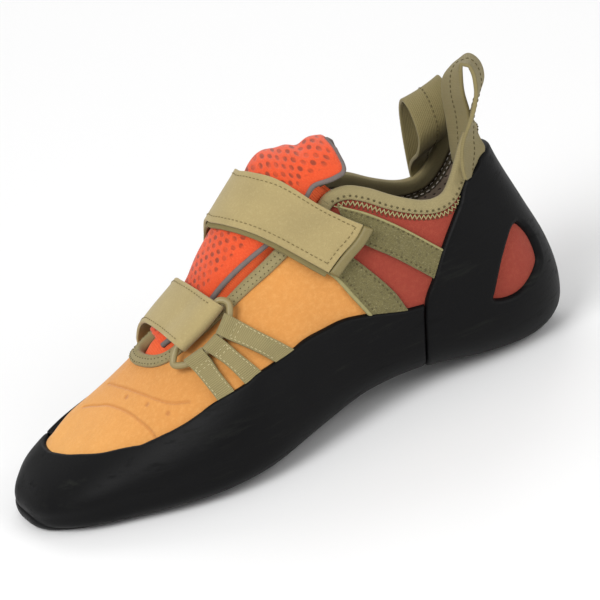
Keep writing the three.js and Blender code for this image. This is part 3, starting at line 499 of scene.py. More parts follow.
class Band:
    """A strap's place on the last between a back and a front edge line."""
    def __init__(self, table=None, edges=None):
        """Both edges are smooth curves through the table's rows, read at 241 shares."""
        self.t = np.linspace(0, 1, 241)
        self.edges = edges or [curve(np.asarray(table, float)[:, k:k + 2], self.t) for k in (0, 2)]
        middle = 0.5 * (self.edges[0] + self.edges[1])
        self.run = lengths_of(on_last(middle[:, 0], middle[:, 1])[0])
        self.length = self.run[-1]
        ends = [on_last(edge[:1, 0], edge[:1, 1])[0][0] for edge in self.edges]
        self.width = float(np.linalg.norm(ends[0] - ends[1]))

    def place(self, mm, across):
        """Section and share at a distance along the band and a share across it."""
        t = np.interp(mm, self.run, self.t)
        back, front = ([np.interp(t, self.t, edge[:, k]) for k in (0, 1)] for edge in self.edges)
        return back[0] + (front[0] - back[0]) * across, back[1] + (front[1] - back[1]) * across

    def part(self, first, last_):
        """A narrower band, between two distances from the back edge, or from the front if negative."""
        shares = [k / self.width if k >= 0 else 1 + k / self.width for k in (first, last_)]
        return Band(edges=[np.stack(self.place(self.run, share), 1) for share in shares])

    def points(self, mm, across, height):
        """Points over the last at a height plus the instep's rise; past either end the
        band goes straight on along its own direction.
        """
        mm, across = np.broadcast_arrays(np.asarray(mm, float), np.asarray(across, float))
        s, v = self.place(np.clip(mm, 0, self.length), across)
        height = height(mm, across, s, v) if callable(height) else height
        p, n = on_last(s, v, height + rise(s, v))
        past = np.where(mm < 0, mm, np.maximum(mm - self.length, 0))
        held = np.clip(mm, 0, self.length)
        a, b = (on_last(*self.place(np.clip(held + k, 0, self.length), across))[0] for k in (1.0, -1.0))
        return p + unit(a - b) * past[..., None], n

# %% Strips with rounded edges

def under_rubber(s, v, low, reach=13.0):
    """A layer's height over the last, eased down to 0.25 mm under rand or heel band."""
    f = np.minimum(read(RAND_FIELD, s, v), read(HEEL_FIELD, s, v))
    return 0.25 + (low - 0.25) * ease(f / reach)


def grid_faces(rows, columns, ring=False):
    """Quads between neighbouring rows and columns; a ring also joins the last column to the first."""
    k = np.arange(columns if ring else columns - 1)
    a = np.arange(rows - 1)[:, None] * columns + k[None, :]
    b = np.arange(rows - 1)[:, None] * columns + ((k + 1) % columns)[None, :]
    return np.stack([a, a + columns, b + columns, b], -1).reshape(-1, 4)


def outward_faces(points, faces, centre):
    """All faces turned so that the closed ring faces away from its centre line."""
    p = points[faces[:, :3]]
    normal = np.cross(p[:, 1] - p[:, 0], p[:, 2] - p[:, 0])
    return faces[:, ::-1] if (normal * (p.mean(1) - centre[faces[:, 0]])).sum() < 0 else faces


def tube_object(name, rings, place=None, **more):
    """A closed skin over rings of points: rings has the shape rows, columns, 3."""
    rows, columns = rings.shape[:2]
    points = rings.reshape(-1, 3)
    centre = np.repeat(rings.mean(1), columns, axis=0)
    quads = outward_faces(points, grid_faces(rows, columns, ring=True), centre)
    faces = quads.tolist()
    ends = [list(range(columns)), list(range((rows - 1) * columns, rows * columns))]
    for loop, row, inner in ((ends[0], rings[0], rings[1]), (ends[1], rings[-1], rings[-2])):
        out = row.mean(0) - inner.mean(0)
        normal = np.cross(row[columns // 3] - row[0], row[2 * columns // 3] - row[0])
        faces.append(loop if (normal * out).sum() > 0 else loop[::-1])
    if place is None:
        place = np.zeros((rows, columns, 3))
    more = {key: np.asarray(values).reshape(-1) for key, values in more.items()}
    return mesh_object(name, points, faces, place=place.reshape(-1, 3), **more)


def slab_ring(width, thickness, across, round_off=0.45):
    """Shares across and heights of a strip's section, with rounded long edges."""
    r = min(round_off, thickness / 2)
    q = np.linspace(0, np.pi / 2, 4)
    corner = np.stack([r * (1 - np.sin(q)), thickness - r * (1 - np.cos(q))], 1)  # top, then the edge
    flat = np.linspace(0, 1, across)[1:-1] * (width - 2 * r) + r
    top_right = np.stack([width - corner[:, 0], corner[:, 1]], 1)
    low_right = np.stack([width - corner[::-1, 0], thickness - corner[::-1, 1]], 1)
    low_left = np.stack([corner[:, 0], thickness - corner[:, 1]], 1)
    top_left = np.stack([corner[::-1, 0], corner[::-1, 1]], 1)
    section = np.concatenate([
        np.stack([flat, np.full(len(flat), thickness)], 1), top_right, low_right,
        np.stack([flat[::-1], np.zeros(len(flat))], 1), low_left, top_left])
    return section[:, 0], section[:, 1]


def strip_object(name, band, start, end, low, thickness, across=14, step=1.2, wider=0.0, round_off=0.45,
                 end_round=0.3):
    """A flat strap over the last; its ends are rounded too."""
    u, h = slab_ring(band.width + wider, thickness, across, round_off)
    count = max(8, int((end - start) / step))
    mm = np.linspace(start, end, count)
    lip = end_round * np.array([0.0, 0.12, 0.35, 0.65, 1.0])
    between = (mm > start + 1.3 * end_round) & (mm < end - 1.3 * end_round)
    mm = np.concatenate([start + lip, mm[between], end - lip[::-1]])
    squeeze = 0.35 + 0.65 * bump(np.minimum(mm - start, end - mm) / end_round)
    share = (u / band.width)[None, :]
    level = thickness / 2 + (h[None, :] - thickness / 2) * squeeze[:, None]

    def height(mm_, across_, s, v):
        base = low(mm_, across_, s, v) if callable(low) else low
        return under_rubber(s, v, base) + level

    points, _ = band.points(mm[:, None] + 0 * share, share + 0 * mm[:, None], height)
    place = np.stack(np.broadcast_arrays(u[None, :], mm[:, None], level), -1)
    return tube_object(name, points, place)

# %% [markdown]
# A stitch is a short bar of thread that sinks a little into the cloth. Drawn
# stitches would vanish at grazing angles, so each is a small mesh of five rings,
# and all stitches of a seam are one piece, worked out together.

# %% Stitches

def stitches_object(name, lines, material, slot, length=1.5, gap=0.9, radius=0.22, sink=0.08,
                    zigzag=0.0):
    """Thread along lines of points with their normals, one short bar a stitch.

    Each bar is five rings of six points, thin at the ends, laid along the line or
    turned to and fro for a zigzag.
    """
    centres, alongs, ups = [], [], []
    for points, normals in lines:
        run = lengths_of(points)
        count = max(2, int(run[-1] / (length + gap)))
        at = (np.arange(count) + 0.5) * run[-1] / count
        pick = lambda a, where: np.stack([np.interp(where, run, a[:, k]) for k in range(3)], 1)
        along = unit(pick(points, at + 0.3) - pick(points, at - 0.3))
        up_ = unit(pick(normals, at))
        if zigzag:
            side = np.cross(up_, along)
            sign = np.where(np.arange(count) % 2, 1, -1)[:, None]
            along = unit(along + side * sign * zigzag)
        centres.append(pick(points, at) + up_ * (radius - sink))
        alongs.append(along)
        ups.append(up_)
    centres, alongs, ups = map(np.concatenate, (centres, alongs, ups))
    sides = np.cross(ups, alongs)
    q = np.arange(6) / 6 * 2 * np.pi
    ring = np.stack([np.zeros(6), np.cos(q), np.sin(q)], 1) * radius
    levels = [(-0.5, 0.35), (-0.38, 0.9), (0.0, 1.05), (0.38, 0.9), (0.5, 0.35)]
    shape = np.concatenate([ring * w + [a * length, 0, 0] for a, w in levels])
    points = (centres[:, None] + shape[None, :, :1] * alongs[:, None] + shape[None, :, 1:2] * sides[:, None]
              + shape[None, :, 2:] * ups[:, None])
    quads = grid_faces(5, 6, ring=True)
    caps = np.array([[0, 1, 2, 3], [0, 3, 4, 5], [27, 26, 25, 24], [29, 28, 27, 24]])
    one_bar = np.concatenate([quads, caps])[:, ::-1]  # turned outwards
    first_points = np.arange(len(centres)) * len(shape)
    faces = (one_bar[None] + first_points[:, None, None]).reshape(-1, 4)
    obj = mesh_object(name, points.reshape(-1, 3), faces)
    return finish_piece(obj, material, slot)


def walk(s, v, direction, mm):
    """The place on the last that lies mm away along a direction in space.

    The step is solved from the surface's two step directions, as two equations.
    """
    ds, dv = read(D_S, s, v), read(D_V, s, v)
    e_, f_, g_ = (ds * ds).sum(-1), (ds * dv).sum(-1), (dv * dv).sum(-1)
    p, q = (ds * direction).sum(-1) * mm, (dv * direction).sum(-1) * mm
    det = np.maximum(e_ * g_ - f_ * f_, 1e-3)
    return s + (g_ * p - f_ * q) / det, v + (e_ * q - f_ * p) / det


# %% [markdown]
# Materials. Suede, webbing and rubber all need uneven colour and a fine grain, so
# these are node groups that put out colours, masks, values or normals. The
# shader stays in each material. Sizes inside the groups are in millimetres.

# %% Colours and a helper for node graphs
def srgb(red, green, blue):
    """A screen colour from 0 to 255 as linear light: ((c + 0.055) / 1.055)^2.4."""
    linear = [((c / 255) / 12.92 if c <= 10 else ((c / 255 + 0.055) / 1.055) ** 2.4)
              for c in (red, green, blue)]
    return (*linear, 1.0)


class Graph:
    """Short words for making and joining shader nodes."""
    def __init__(self, tree):
        self.tree = tree

    def node(self, kind, inputs=None, **settings):
        """A node with its inputs: a socket is linked, any other value is set."""
        made = self.tree.nodes.new(kind)
        for key, value in settings.items():
            setattr(made, key, value)
        for key, value in (inputs or {}).items():
            if isinstance(value, bpy.types.NodeSocket):
                self.tree.links.new(value, made.inputs[key])
            else:
                made.inputs[key].default_value = value
        return made

    def math(self, operation, a, b=0.0, clamp=False):
        """One sum, product or other step on two numbers."""
        return self.node("ShaderNodeMath", {0: a, 1: b}, operation=operation, use_clamp=clamp).outputs[0]

    def vector(self, operation, a, b=(0, 0, 0)):
        """The same on vectors."""
        made = self.node("ShaderNodeVectorMath", {0: a}, operation=operation)
        if operation == "SCALE":
            made.inputs["Scale"].default_value = b
        elif isinstance(b, bpy.types.NodeSocket):
            self.tree.links.new(b, made.inputs[1])
        else:
            made.inputs[1].default_value = b
        return made.outputs["Value" if operation == "LENGTH" else 0]

    def mix(self, factor, a, b, blend="MIX"):
        """From one colour to another by a factor."""
        made = self.node("ShaderNodeMix", data_type="RGBA", blend_type=blend)
        for key, value in ((0, factor), (6, a), (7, b)):
            if isinstance(value, bpy.types.NodeSocket):
                self.tree.links.new(value, made.inputs[key])
            else:
                made.inputs[key].default_value = value
        return made.outputs[2]

    def range(self, value, low, high, to_low=0.0, to_high=1.0, smooth_ends=True):
        """A value taken from one range to another, with level ends."""
        return self.node(
            "ShaderNodeMapRange", {0: value, 1: low, 2: high, 3: to_low, 4: to_high},
            interpolation_type="SMOOTHSTEP" if smooth_ends else "LINEAR").outputs[0]

    def noise(self, vector, size, detail=3.0, rough=0.6):
        """Soft noise whose patches are about size millimetres wide."""
        return self.node("ShaderNodeTexNoise", {
            "Vector": vector, "Scale": 1.0 / size, "Detail": detail, "Roughness": rough}).outputs[0]

    def mm(self):
        """Object coordinates in millimetres."""
        return self.vector("SCALE", self.node("ShaderNodeTexCoord").outputs["Object"], 1000.0)

    def attribute(self, name, output="Vector"):
        """A value that the piece's mesh carries."""
        return self.node("ShaderNodeAttribute", attribute_name=name).outputs[output]

    def group(self, tree, inputs):
        """A shared effect with this material's values."""
        made = self.tree.nodes.new("ShaderNodeGroup")
        made.node_tree = tree
        for key, value in inputs.items():
            if isinstance(value, bpy.types.NodeSocket):
                self.tree.links.new(value, made.inputs[key])
            else:
                made.inputs[key].default_value = value
        return made.outputs[0]


def node_group(name, inputs, output):
    """An empty group with its sockets: inputs as name and kind, one output."""
    tree = bpy.data.node_groups.new(name, "ShaderNodeTree")
    for key, kind in inputs:
        tree.interface.new_socket(key, in_out="INPUT", socket_type=kind)
    tree.interface.new_socket(output[0], in_out="OUTPUT", socket_type=output[1])
    return tree, Graph(tree), tree.nodes.new("NodeGroupInput"), tree.nodes.new("NodeGroupOutput")

# %% Shared effects

NUMBER, COLOUR, VECTOR = "NodeSocketFloat", "NodeSocketColor", "NodeSocketVector"

# Colour that varies in patches and in fine grains
MOTTLED, g, into, out = node_group(
    "mottled", [("Colour", COLOUR), ("Patch", NUMBER), ("Grain", NUMBER), ("Strength", NUMBER)],
    ("Colour", COLOUR))
at = g.mm()
patches = g.node("ShaderNodeTexNoise", {
    "Vector": at, "Scale": g.math("DIVIDE", 1.0, into.outputs["Patch"]),
    "Detail": 4.0, "Roughness": 0.55}).outputs[0]
grains = g.node("ShaderNodeTexNoise", {
    "Vector": at, "Scale": g.math("DIVIDE", 1.0, into.outputs["Grain"]),
    "Detail": 2.0, "Roughness": 0.7}).outputs[0]
wave = g.math(
    "ADD", g.math("MULTIPLY", g.math("SUBTRACT", patches, 0.5), 1.2), g.math("SUBTRACT", grains, 0.5))
factor = g.math("ADD", 1.0, g.math("MULTIPLY", wave, into.outputs["Strength"]))
factors = g.node("ShaderNodeCombineXYZ", {0: factor, 1: factor, 2: factor}).outputs[0]
g.tree.links.new(g.vector("MULTIPLY", into.outputs["Colour"], factors), out.inputs[0])

# A normal from fine grain and one more height, both in millimetres
GRAIN, g, into, out = node_group(
    "grain", [("Size", NUMBER), ("Depth", NUMBER), ("Height", NUMBER)], ("Normal", VECTOR))
fine = g.node("ShaderNodeTexNoise", {
    "Vector": g.mm(), "Scale": g.math("DIVIDE", 1.0, into.outputs["Size"]),
    "Detail": 3.0, "Roughness": 0.7}).outputs[0]
total = g.math(
    "ADD", g.math("MULTIPLY", g.math("SUBTRACT", fine, 0.5), into.outputs["Depth"]), into.outputs["Height"])
relief = g.node("ShaderNodeBump", {"Strength": 1.0, "Distance": 0.001, "Height": total})
g.tree.links.new(relief.outputs[0], out.inputs[0])

# A mask of round dots, in rows that stand half a pitch apart
DOTS, g, into, out = node_group(
    "dots", [("Place", VECTOR), ("Pitch", NUMBER), ("Row", NUMBER), ("Radius", NUMBER)], ("Mask", NUMBER))
cell = g.node("ShaderNodeCombineXYZ", {
    0: into.outputs["Pitch"], 1: g.math("MULTIPLY", into.outputs["Row"], 2.0), 2: 1000.0}).outputs[0]
distances = []
for shift in ((0.0, 0.0, 0.5), (0.5, 0.5, 0.5)):
    inside = g.vector("FRACTION", g.vector("ADD", g.vector("DIVIDE", into.outputs["Place"], cell), shift))
    centred = g.vector("SUBTRACT", inside, (0.5, 0.5, 0.5))
    offset = g.vector("MULTIPLY", g.vector("MULTIPLY", centred, cell), (1, 1, 0))
    distances.append(g.vector("LENGTH", offset))
nearest = g.math("MINIMUM", *distances)
edge = g.math("DIVIDE", nearest, into.outputs["Radius"])
g.tree.links.new(g.range(edge, 1.25, 0.65), out.inputs[0])

# Ribs across webbing: 1 on top of a rib, 0 between two
RIBS, g, into, out = node_group("ribs", [("Along", NUMBER), ("Pitch", NUMBER)], ("Value", NUMBER))
turn_ = g.math("MULTIPLY", g.math("DIVIDE", into.outputs["Along"], into.outputs["Pitch"]), 2 * math.pi)
g.tree.links.new(g.math("ADD", 0.5, g.math("MULTIPLY", g.math("COSINE", turn_), 0.5)), out.inputs[0])

# %% A material from its graph

def new_material(name, build, roughness=0.8, **constants):
    """A material from build(graph), which returns its colour, normal and roughness."""
    made = bpy.data.materials.new(name)
    made.use_nodes = True
    tree = made.node_tree
    shader = tree.nodes["Principled BSDF"]
    graph = Graph(tree)
    colour, normal, rough = build(graph)
    tree.links.new(colour, shader.inputs["Base Color"])
    tree.links.new(normal, shader.inputs["Normal"])
    if rough is None:
        shader.inputs["Roughness"].default_value = roughness
    else:
        tree.links.new(rough, shader.inputs["Roughness"])
    for key, value in constants.items():
        shader.inputs[key.replace("_", " ")].default_value = value
    made.diffuse_color = shader.inputs["Base Color"].default_value
    return made

# %% [markdown]
# Each finish is a short function that mixes its own colours and heights from the
# shared effects. The colours are darker than the photograph's, because the lamps
# brighten them.

# %% Leather, rubber and fabrics

def suede(g):
    """Brushed leather in two colours, with pressed lines and punched dots."""
    at = g.mm()
    quarter = g.attribute("quarter", "Fac")
    toe = g.attribute("toe", "Fac")
    vamp = g.mix(toe, srgb(210, 143, 71), srgb(228, 164, 85))
    base = g.mix(quarter, vamp, srgb(146, 54, 38))
    colour = g.group(MOTTLED, {"Colour": base, "Patch": 16.0, "Grain": 0.5, "Strength": 0.16})
    # brushed nap: paler and darker strokes
    nap = g.noise(g.vector("MULTIPLY", at, (0.8, 1.0, 0.9)), 1.6, 5.0, 0.75)
    raised = g.mix(quarter, srgb(250, 200, 128), srgb(186, 98, 68))
    colour = g.mix(g.range(nap, 0.42, 0.72, 0.0, 0.16), colour, raised)
    crease = g.attribute("crease", "Fac")
    pressed = g.mix(quarter, srgb(196, 126, 60), srgb(110, 44, 30))
    colour = g.mix(g.math("MULTIPLY", crease, 0.6), colour, pressed)
    dot = g.attribute("dots", "Fac")
    colour = g.mix(g.math("MULTIPLY", dot, 0.5), colour, srgb(170, 100, 50))
    height = g.math("ADD", g.math("MULTIPLY", nap, 0.12), g.math("MULTIPLY", dot, -0.3))
    height = g.math("ADD", g.math("MULTIPLY", crease, -0.35), height)
    normal = g.group(GRAIN, {"Size": 0.45, "Depth": 0.16, "Height": height})
    return colour, normal, None


def rubber(g):
    """Near-black rubber with long grey-green scuffs that thin out toward the floor."""
    at = g.mm()
    scuff = g.range(g.noise(g.vector("MULTIPLY", at, (0.16, 0.5, 1.5)), 4.0, 6.0, 0.7), 0.5, 0.72)
    dust = g.range(g.noise(g.vector("MULTIPLY", at, (0.5, 0.8, 1.3)), 22.0, 3.0, 0.5), 0.42, 0.7)
    colour = g.group(MOTTLED, {"Colour": srgb(6, 6, 7), "Patch": 22.0, "Grain": 0.7, "Strength": 0.35})
    above = g.range(g.node("ShaderNodeSeparateXYZ", {0: at}).outputs[2], 8.0, 26.0, 0.25, 1.0)
    worn = g.math("MULTIPLY", g.math("MULTIPLY", scuff, dust), above)
    colour = g.mix(g.math("MULTIPLY", worn, 0.55), colour, srgb(44, 46, 40))
    normal = g.group(GRAIN, {"Size": 0.8, "Depth": 0.07, "Height": g.math("MULTIPLY", scuff, -0.05)})
    rough = g.math("ADD", 0.5, g.math("MULTIPLY", scuff, 0.2))
    return colour, normal, rough

# %% Tape and the tongue's fabrics

def tape(g):
    """Olive twill, darker at its folded edges and on its inner leg."""
    place = g.attribute("place")
    xyz = g.node("ShaderNodeSeparateXYZ", {0: place}).outputs
    twill = g.group(RIBS, {"Along": g.math("ADD", xyz[0], xyz[1]), "Pitch": 0.75})
    colour = g.group(MOTTLED, {"Colour": srgb(146, 133, 92), "Patch": 8.0, "Grain": 0.45, "Strength": 0.3})
    colour = g.mix(g.math("MULTIPLY", twill, 0.25), colour, srgb(172, 158, 112))
    edge = g.math("ABSOLUTE", xyz[0])
    colour = g.mix(g.range(edge, 4.0, 5.2, 0.0, 0.3), colour, srgb(110, 100, 66))
    colour = g.mix(g.range(xyz[2], -1.2, -2.6, 0.0, 0.6), colour, srgb(84, 78, 50))
    normal = g.group(GRAIN, {"Size": 0.35, "Depth": 0.1, "Height": g.math("MULTIPLY", twill, 0.09)})
    return colour, normal, None


def mesh_fabric(g):
    """Lofty orange mesh with a painted highlight on its raised loft, and rows of worn, sunken holes away from
    the edge.
    """
    place = g.attribute("place")
    warped = g.vector("ADD", place, g.vector("SCALE", g.node(
        "ShaderNodeTexNoise", {"Vector": place, "Scale": 0.2, "Detail": 1.0}).outputs["Color"], 0.7))
    holes = g.group(DOTS, {"Place": warped, "Pitch": 3.5, "Row": 2.9, "Radius": 0.98})
    holes = g.math("MULTIPLY", holes, g.attribute("field", "Fac"))
    worn = g.range(g.noise(place, 5.0, 2.0, 0.5), 0.35, 0.6, 0.35, 1.0)
    colour = g.group(MOTTLED, {"Colour": srgb(228, 76, 26), "Patch": 6.0, "Grain": 0.4, "Strength": 0.2})
    loft_and_highlight = g.noise(place, 0.7, 3.0, 0.7)
    # painted highlight: where the loft rises, the orange is mixed toward a paler one
    colour = g.mix(g.range(loft_and_highlight, 0.42, 0.7, 0.0, 0.3), colour, srgb(250, 116, 56))
    colour = g.mix(g.math("MULTIPLY", g.math("MULTIPLY", holes, worn), 0.8), colour, srgb(122, 48, 24))
    height = g.math("ADD", g.math("MULTIPLY", holes, -0.22), g.math("MULTIPLY", loft_and_highlight, 0.4))
    normal = g.group(GRAIN, {"Size": 0.35, "Depth": 0.16, "Height": height})
    return colour, normal, None


def gusset_fabric(g):
    """Ribbed stretch fabric."""
    place = g.attribute("place")
    colour = g.group(MOTTLED, {"Colour": srgb(236, 94, 42), "Patch": 6.0, "Grain": 0.5, "Strength": 0.3})
    xyz = g.node("ShaderNodeSeparateXYZ", {0: place}).outputs
    ribs = g.group(RIBS, {"Along": xyz[1], "Pitch": 0.9})
    colour = g.mix(g.math("MULTIPLY", ribs, 0.18), colour, srgb(255, 130, 76))
    normal = g.group(GRAIN, {"Size": 0.35, "Depth": 0.08, "Height": g.math("MULTIPLY", ribs, 0.1)})
    return colour, normal, None

# %% The straps' suede

def microsuede(g):
    """Fine olive suede of the straps."""
    colour = g.group(MOTTLED, {"Colour": srgb(166, 148, 100), "Patch": 12.0, "Grain": 0.4, "Strength": 0.2})
    nap = g.noise(g.mm(), 1.1, 4.0, 0.7)
    colour = g.mix(g.range(nap, 0.5, 0.7, 0.0, 0.22), colour, srgb(196, 180, 130))
    normal = g.group(GRAIN, {"Size": 0.4, "Depth": 0.13, "Height": g.math("MULTIPLY", nap, 0.1)})
    return colour, normal, None

# %% Webbing, patch and lining

def loop_fabric(g):
    """Webbing with ribs along its length, crossed by finer threads."""
    xyz = g.node("ShaderNodeSeparateXYZ", {0: g.attribute("place")}).outputs
    ribs = g.group(RIBS, {"Along": xyz[0], "Pitch": 0.75})
    threads = g.group(RIBS, {"Along": xyz[1], "Pitch": 0.6})
    colour = g.group(MOTTLED, {"Colour": srgb(126, 114, 72), "Patch": 9.0, "Grain": 0.4, "Strength": 0.3})
    colour = g.mix(g.math("MULTIPLY", ribs, 0.3), colour, srgb(158, 145, 100))
    colour = g.mix(g.math("MULTIPLY", threads, 0.2), colour, srgb(78, 70, 44))
    height = g.math("ADD", g.math("MULTIPLY", ribs, 0.12), g.math("MULTIPLY", threads, 0.05))
    return colour, g.group(GRAIN, {"Size": 0.3, "Depth": 0.08, "Height": height}), None


def webbing_fabric(g):
    """Webbing with ribs across its length."""
    place = g.attribute("place")
    xyz = g.node("ShaderNodeSeparateXYZ", {0: place}).outputs
    ribs = g.group(RIBS, {"Along": xyz[1], "Pitch": 0.72})
    threads = g.group(RIBS, {"Along": xyz[0], "Pitch": 0.5})
    colour = g.group(MOTTLED, {"Colour": srgb(138, 126, 82), "Patch": 9.0, "Grain": 0.4, "Strength": 0.25})
    colour = g.mix(g.math("MULTIPLY", ribs, 0.42), colour, srgb(178, 165, 116))
    colour = g.mix(g.math("MULTIPLY", g.math("SUBTRACT", 1.0, threads), 0.18), colour, srgb(84, 76, 46))
    height = g.math("ADD", g.math("MULTIPLY", ribs, 0.14), g.math("MULTIPLY", threads, 0.05))
    normal = g.group(GRAIN, {"Size": 0.3, "Depth": 0.06, "Height": height})
    return colour, normal, None


def patch_fabric(g):
    """Rough hook-and-loop pile, speckled light and dark."""
    at = g.mm()
    colour = g.group(MOTTLED, {"Colour": srgb(112, 104, 64), "Patch": 5.0, "Grain": 0.6, "Strength": 0.4})
    specks = g.range(g.noise(at, 0.8, 3.0, 0.8), 0.53, 0.66)
    colour = g.mix(g.math("MULTIPLY", specks, 0.5), colour, srgb(164, 154, 108))
    dark = g.range(g.noise(g.vector("ADD", at, (31.0, 7.0, 3.0)), 0.9, 3.0, 0.8), 0.53, 0.65)
    colour = g.mix(g.math("MULTIPLY", dark, 0.5), colour, srgb(60, 54, 32))
    normal = g.group(GRAIN, {"Size": 0.6, "Depth": 0.45, "Height": g.math("MULTIPLY", specks, 0.1)})
    return colour, normal, None

# %% Lining, board, wire and plain colours

def lining_fabric(g):
    """Perforated lining with a darker strip beside the binding."""
    place = g.attribute("place")
    holes = g.group(DOTS, {"Place": place, "Pitch": 3.6, "Row": 1.8, "Radius": 0.5})
    colour = g.group(MOTTLED, {"Colour": srgb(158, 140, 122), "Patch": 8.0, "Grain": 0.5, "Strength": 0.25})
    colour = g.mix(g.math("MULTIPLY", holes, 0.7), colour, srgb(62, 52, 44))
    depth = g.attribute("depth", "Fac")
    strip = g.math("MULTIPLY", g.range(depth, 4.0, 4.4), g.range(depth, 9.0, 8.5))
    colour = g.mix(g.math("MULTIPLY", strip, 0.85), colour, srgb(70, 64, 40))
    normal = g.group(GRAIN, {"Size": 0.5, "Depth": 0.12, "Height": g.math("MULTIPLY", holes, -0.3)})
    return colour, normal, None


def board(g):
    """Plain insole board."""
    colour = g.group(MOTTLED, {"Colour": srgb(118, 108, 94), "Patch": 10.0, "Grain": 0.6, "Strength": 0.3})
    return colour, g.group(GRAIN, {"Size": 0.6, "Depth": 0.2, "Height": 0.0}), None


def wire(g):
    """Painted wire."""
    colour = g.group(MOTTLED, {"Colour": srgb(142, 128, 86), "Patch": 5.0, "Grain": 0.6, "Strength": 0.14})
    return colour, g.group(GRAIN, {"Size": 1.2, "Depth": 0.03, "Height": 0.0}), None


def tab_rubber(g):
    """Smooth olive rubber."""
    colour = g.group(MOTTLED, {"Colour": srgb(122, 110, 68), "Patch": 7.0, "Grain": 0.5, "Strength": 0.2})
    return colour, g.group(GRAIN, {"Size": 0.5, "Depth": 0.06, "Height": 0.0}), None


def plain(red, green, blue, strength=0.3):
    """A single colour, for threads, piping and edging."""
    def build(g):
        colour = g.group(MOTTLED, {
            "Colour": srgb(red, green, blue), "Patch": 3.0, "Grain": 0.3, "Strength": strength})
        return colour, g.group(GRAIN, {"Size": 0.25, "Depth": 0.06, "Height": 0.0}), None
    return build

# %% The finishes, with their constant values on the shader

SUEDE = new_material("suede", suede, 0.92, Sheen_Weight=0.25, Sheen_Roughness=0.4)
RUBBER = new_material("rubber", rubber, 0.55, Specular_IOR_Level=0.14)
TAPE_LOOK = new_material("tape", tape, 0.85, Sheen_Weight=0.1)
MESH = new_material("mesh", mesh_fabric, 0.85, Sheen_Weight=0.2)
GUSSET = new_material("gusset", gusset_fabric, 0.85, Sheen_Weight=0.1)
STRAP_LOOK = new_material("microsuede", microsuede, 0.9, Sheen_Weight=0.2)
WEBBING_LOOK = new_material("webbing", webbing_fabric, 0.8, Sheen_Weight=0.1)
LOOP_LOOK = new_material("loop_webbing", loop_fabric, 0.85, Sheen_Weight=0.1)
PATCH_LOOK = new_material("patch", patch_fabric, 0.95, Sheen_Weight=0.15)
LINING = new_material("lining", lining_fabric, 0.9, Sheen_Weight=0.1)
BOARD = new_material("board", board, 0.9)
RING_LOOK = new_material("ring", wire, 0.42)
TAB_LOOK = new_material("tab", tab_rubber, 0.5)
PIPING = new_material("piping", plain(112, 102, 98), 0.8)
EDGING = new_material("edging", plain(150, 142, 96, 0.25), 0.85)
# dark thread for seams, also used as painted shade in holes
DARK_THREAD_AND_HOLE_SHADE = new_material("dark_thread_and_hole_shade", plain(84, 74, 42), 0.8)
THREAD_TAPE = new_material("thread_tape", plain(158, 148, 104), 0.8)
THREAD_STRAP = new_material("thread_strap", plain(118, 104, 62), 0.8)
THREAD_PALE = new_material("thread_pale", plain(190, 178, 136), 0.8)
THREAD_WHITE = new_material("thread_white", plain(206, 198, 186), 0.8)
STRAP_DARK = new_material("strap_under", plain(124, 112, 70, 0.2), 0.85)


# %% [markdown]
# The upper is one skin of suede: orange over the vamp, brick red at the quarters
# and the heel. It is one sheet cut along the collar and the throat and left open
# under the foot, where rubber covers it. Its attributes tell the material where
# the red begins and where the vamp has pressed lines and punched dots.

# %% The suede skin
# The rows stand closer where the vamp has its pressed lines
skin_rows = np.concatenate([
    np.linspace(0.25, 4.7, 60)[:-1], np.linspace(4.7, 7.0, 110)[:-1], np.linspace(7.0, 19, 150)])
outer_skin = Sheet(skin_rows, np.linspace(-1, 1, 340))
outer_skin.keep(COLLAR_FIELD, 0.0).keep(THROAT_FIELD, 0.0)
outer_skin.keep(np.where(S_MESH > 11.2, 9.0, RAND_FIELD + 7.0), 0.0)

# %% What the leather's colours follow

def quarter_share(sheet):
    """1 behind the seam between vamp and quarter, 0 before it."""
    line = np.interp(np.abs(sheet.v), [0, 0.28, 0.45, 0.62, 1], [10.6, 10.8, 11.05, 11.15, 11.2])
    return (sheet.s > line).astype(float)


def toe_share(sheet):
    """0 at the throat to 1 over the toes, eased."""
    return ease((6.6 - sheet.s) / 3.5)


def line_distance(sheet, line):
    """Millimetres on the surface from every point of a sheet to a line of places."""
    points = read(LAST, sheet.s, sheet.v)
    target = read(LAST, line[:, 0], line[:, 1])
    best = np.full(len(points), 1e9)
    near = (points[:, 0] > target[:, 0].min() - 8) & (points[:, 0] < target[:, 0].max() + 8)
    for q in target:
        best[near] = np.minimum(best[near], ((points[near] - q) ** 2).sum(1))
    return np.sqrt(best)


CREASES = [
    [[5.5, -0.04], [5.6, 0.03], [5.85, 0.15], [6.12, 0.25], [6.4, 0.32], [6.75, 0.36]],
    [[4.84, -0.06], [5.08, 0.03], [5.3, 0.1], [5.56, 0.22], [5.7, 0.3], [5.82, 0.37], [5.85, 0.42]],
]
VAMP_DOTS = [[5.68, 0.147], [5.97, 0.259], [6.27, 0.349], [5.68, -0.2], [5.97, -0.3]]


def crease_share(sheet):
    """1 on a pressed line, falling as exp(-(distance / 0.55 mm)^2)."""
    depth = np.zeros(len(sheet.s))
    for table in CREASES:
        line = smooth(table, 240)
        depth = np.maximum(depth, np.exp(-(line_distance(sheet, line) / 0.55) ** 2))
    return depth


def dot_share(sheet):
    """1 in a punched dot, eased to 0 at its edge."""
    depth = np.zeros(len(sheet.s))
    for dot in VAMP_DOTS:
        depth = np.maximum(depth, ease(1.6 - line_distance(sheet, np.array([dot])) / 0.9))
    return depth


def skin_height(sheet):
    """The leather swells a little over the inner toe and sinks along the pressed lines."""
    puff = 1.6 * np.exp(-((sheet.s - 4.3) / 0.9) ** 2 - ((sheet.v + 0.17) / 0.13) ** 2)
    return puff * ease(sheet.value(RAND_FIELD) / 7) - 0.3 * crease_share(sheet)

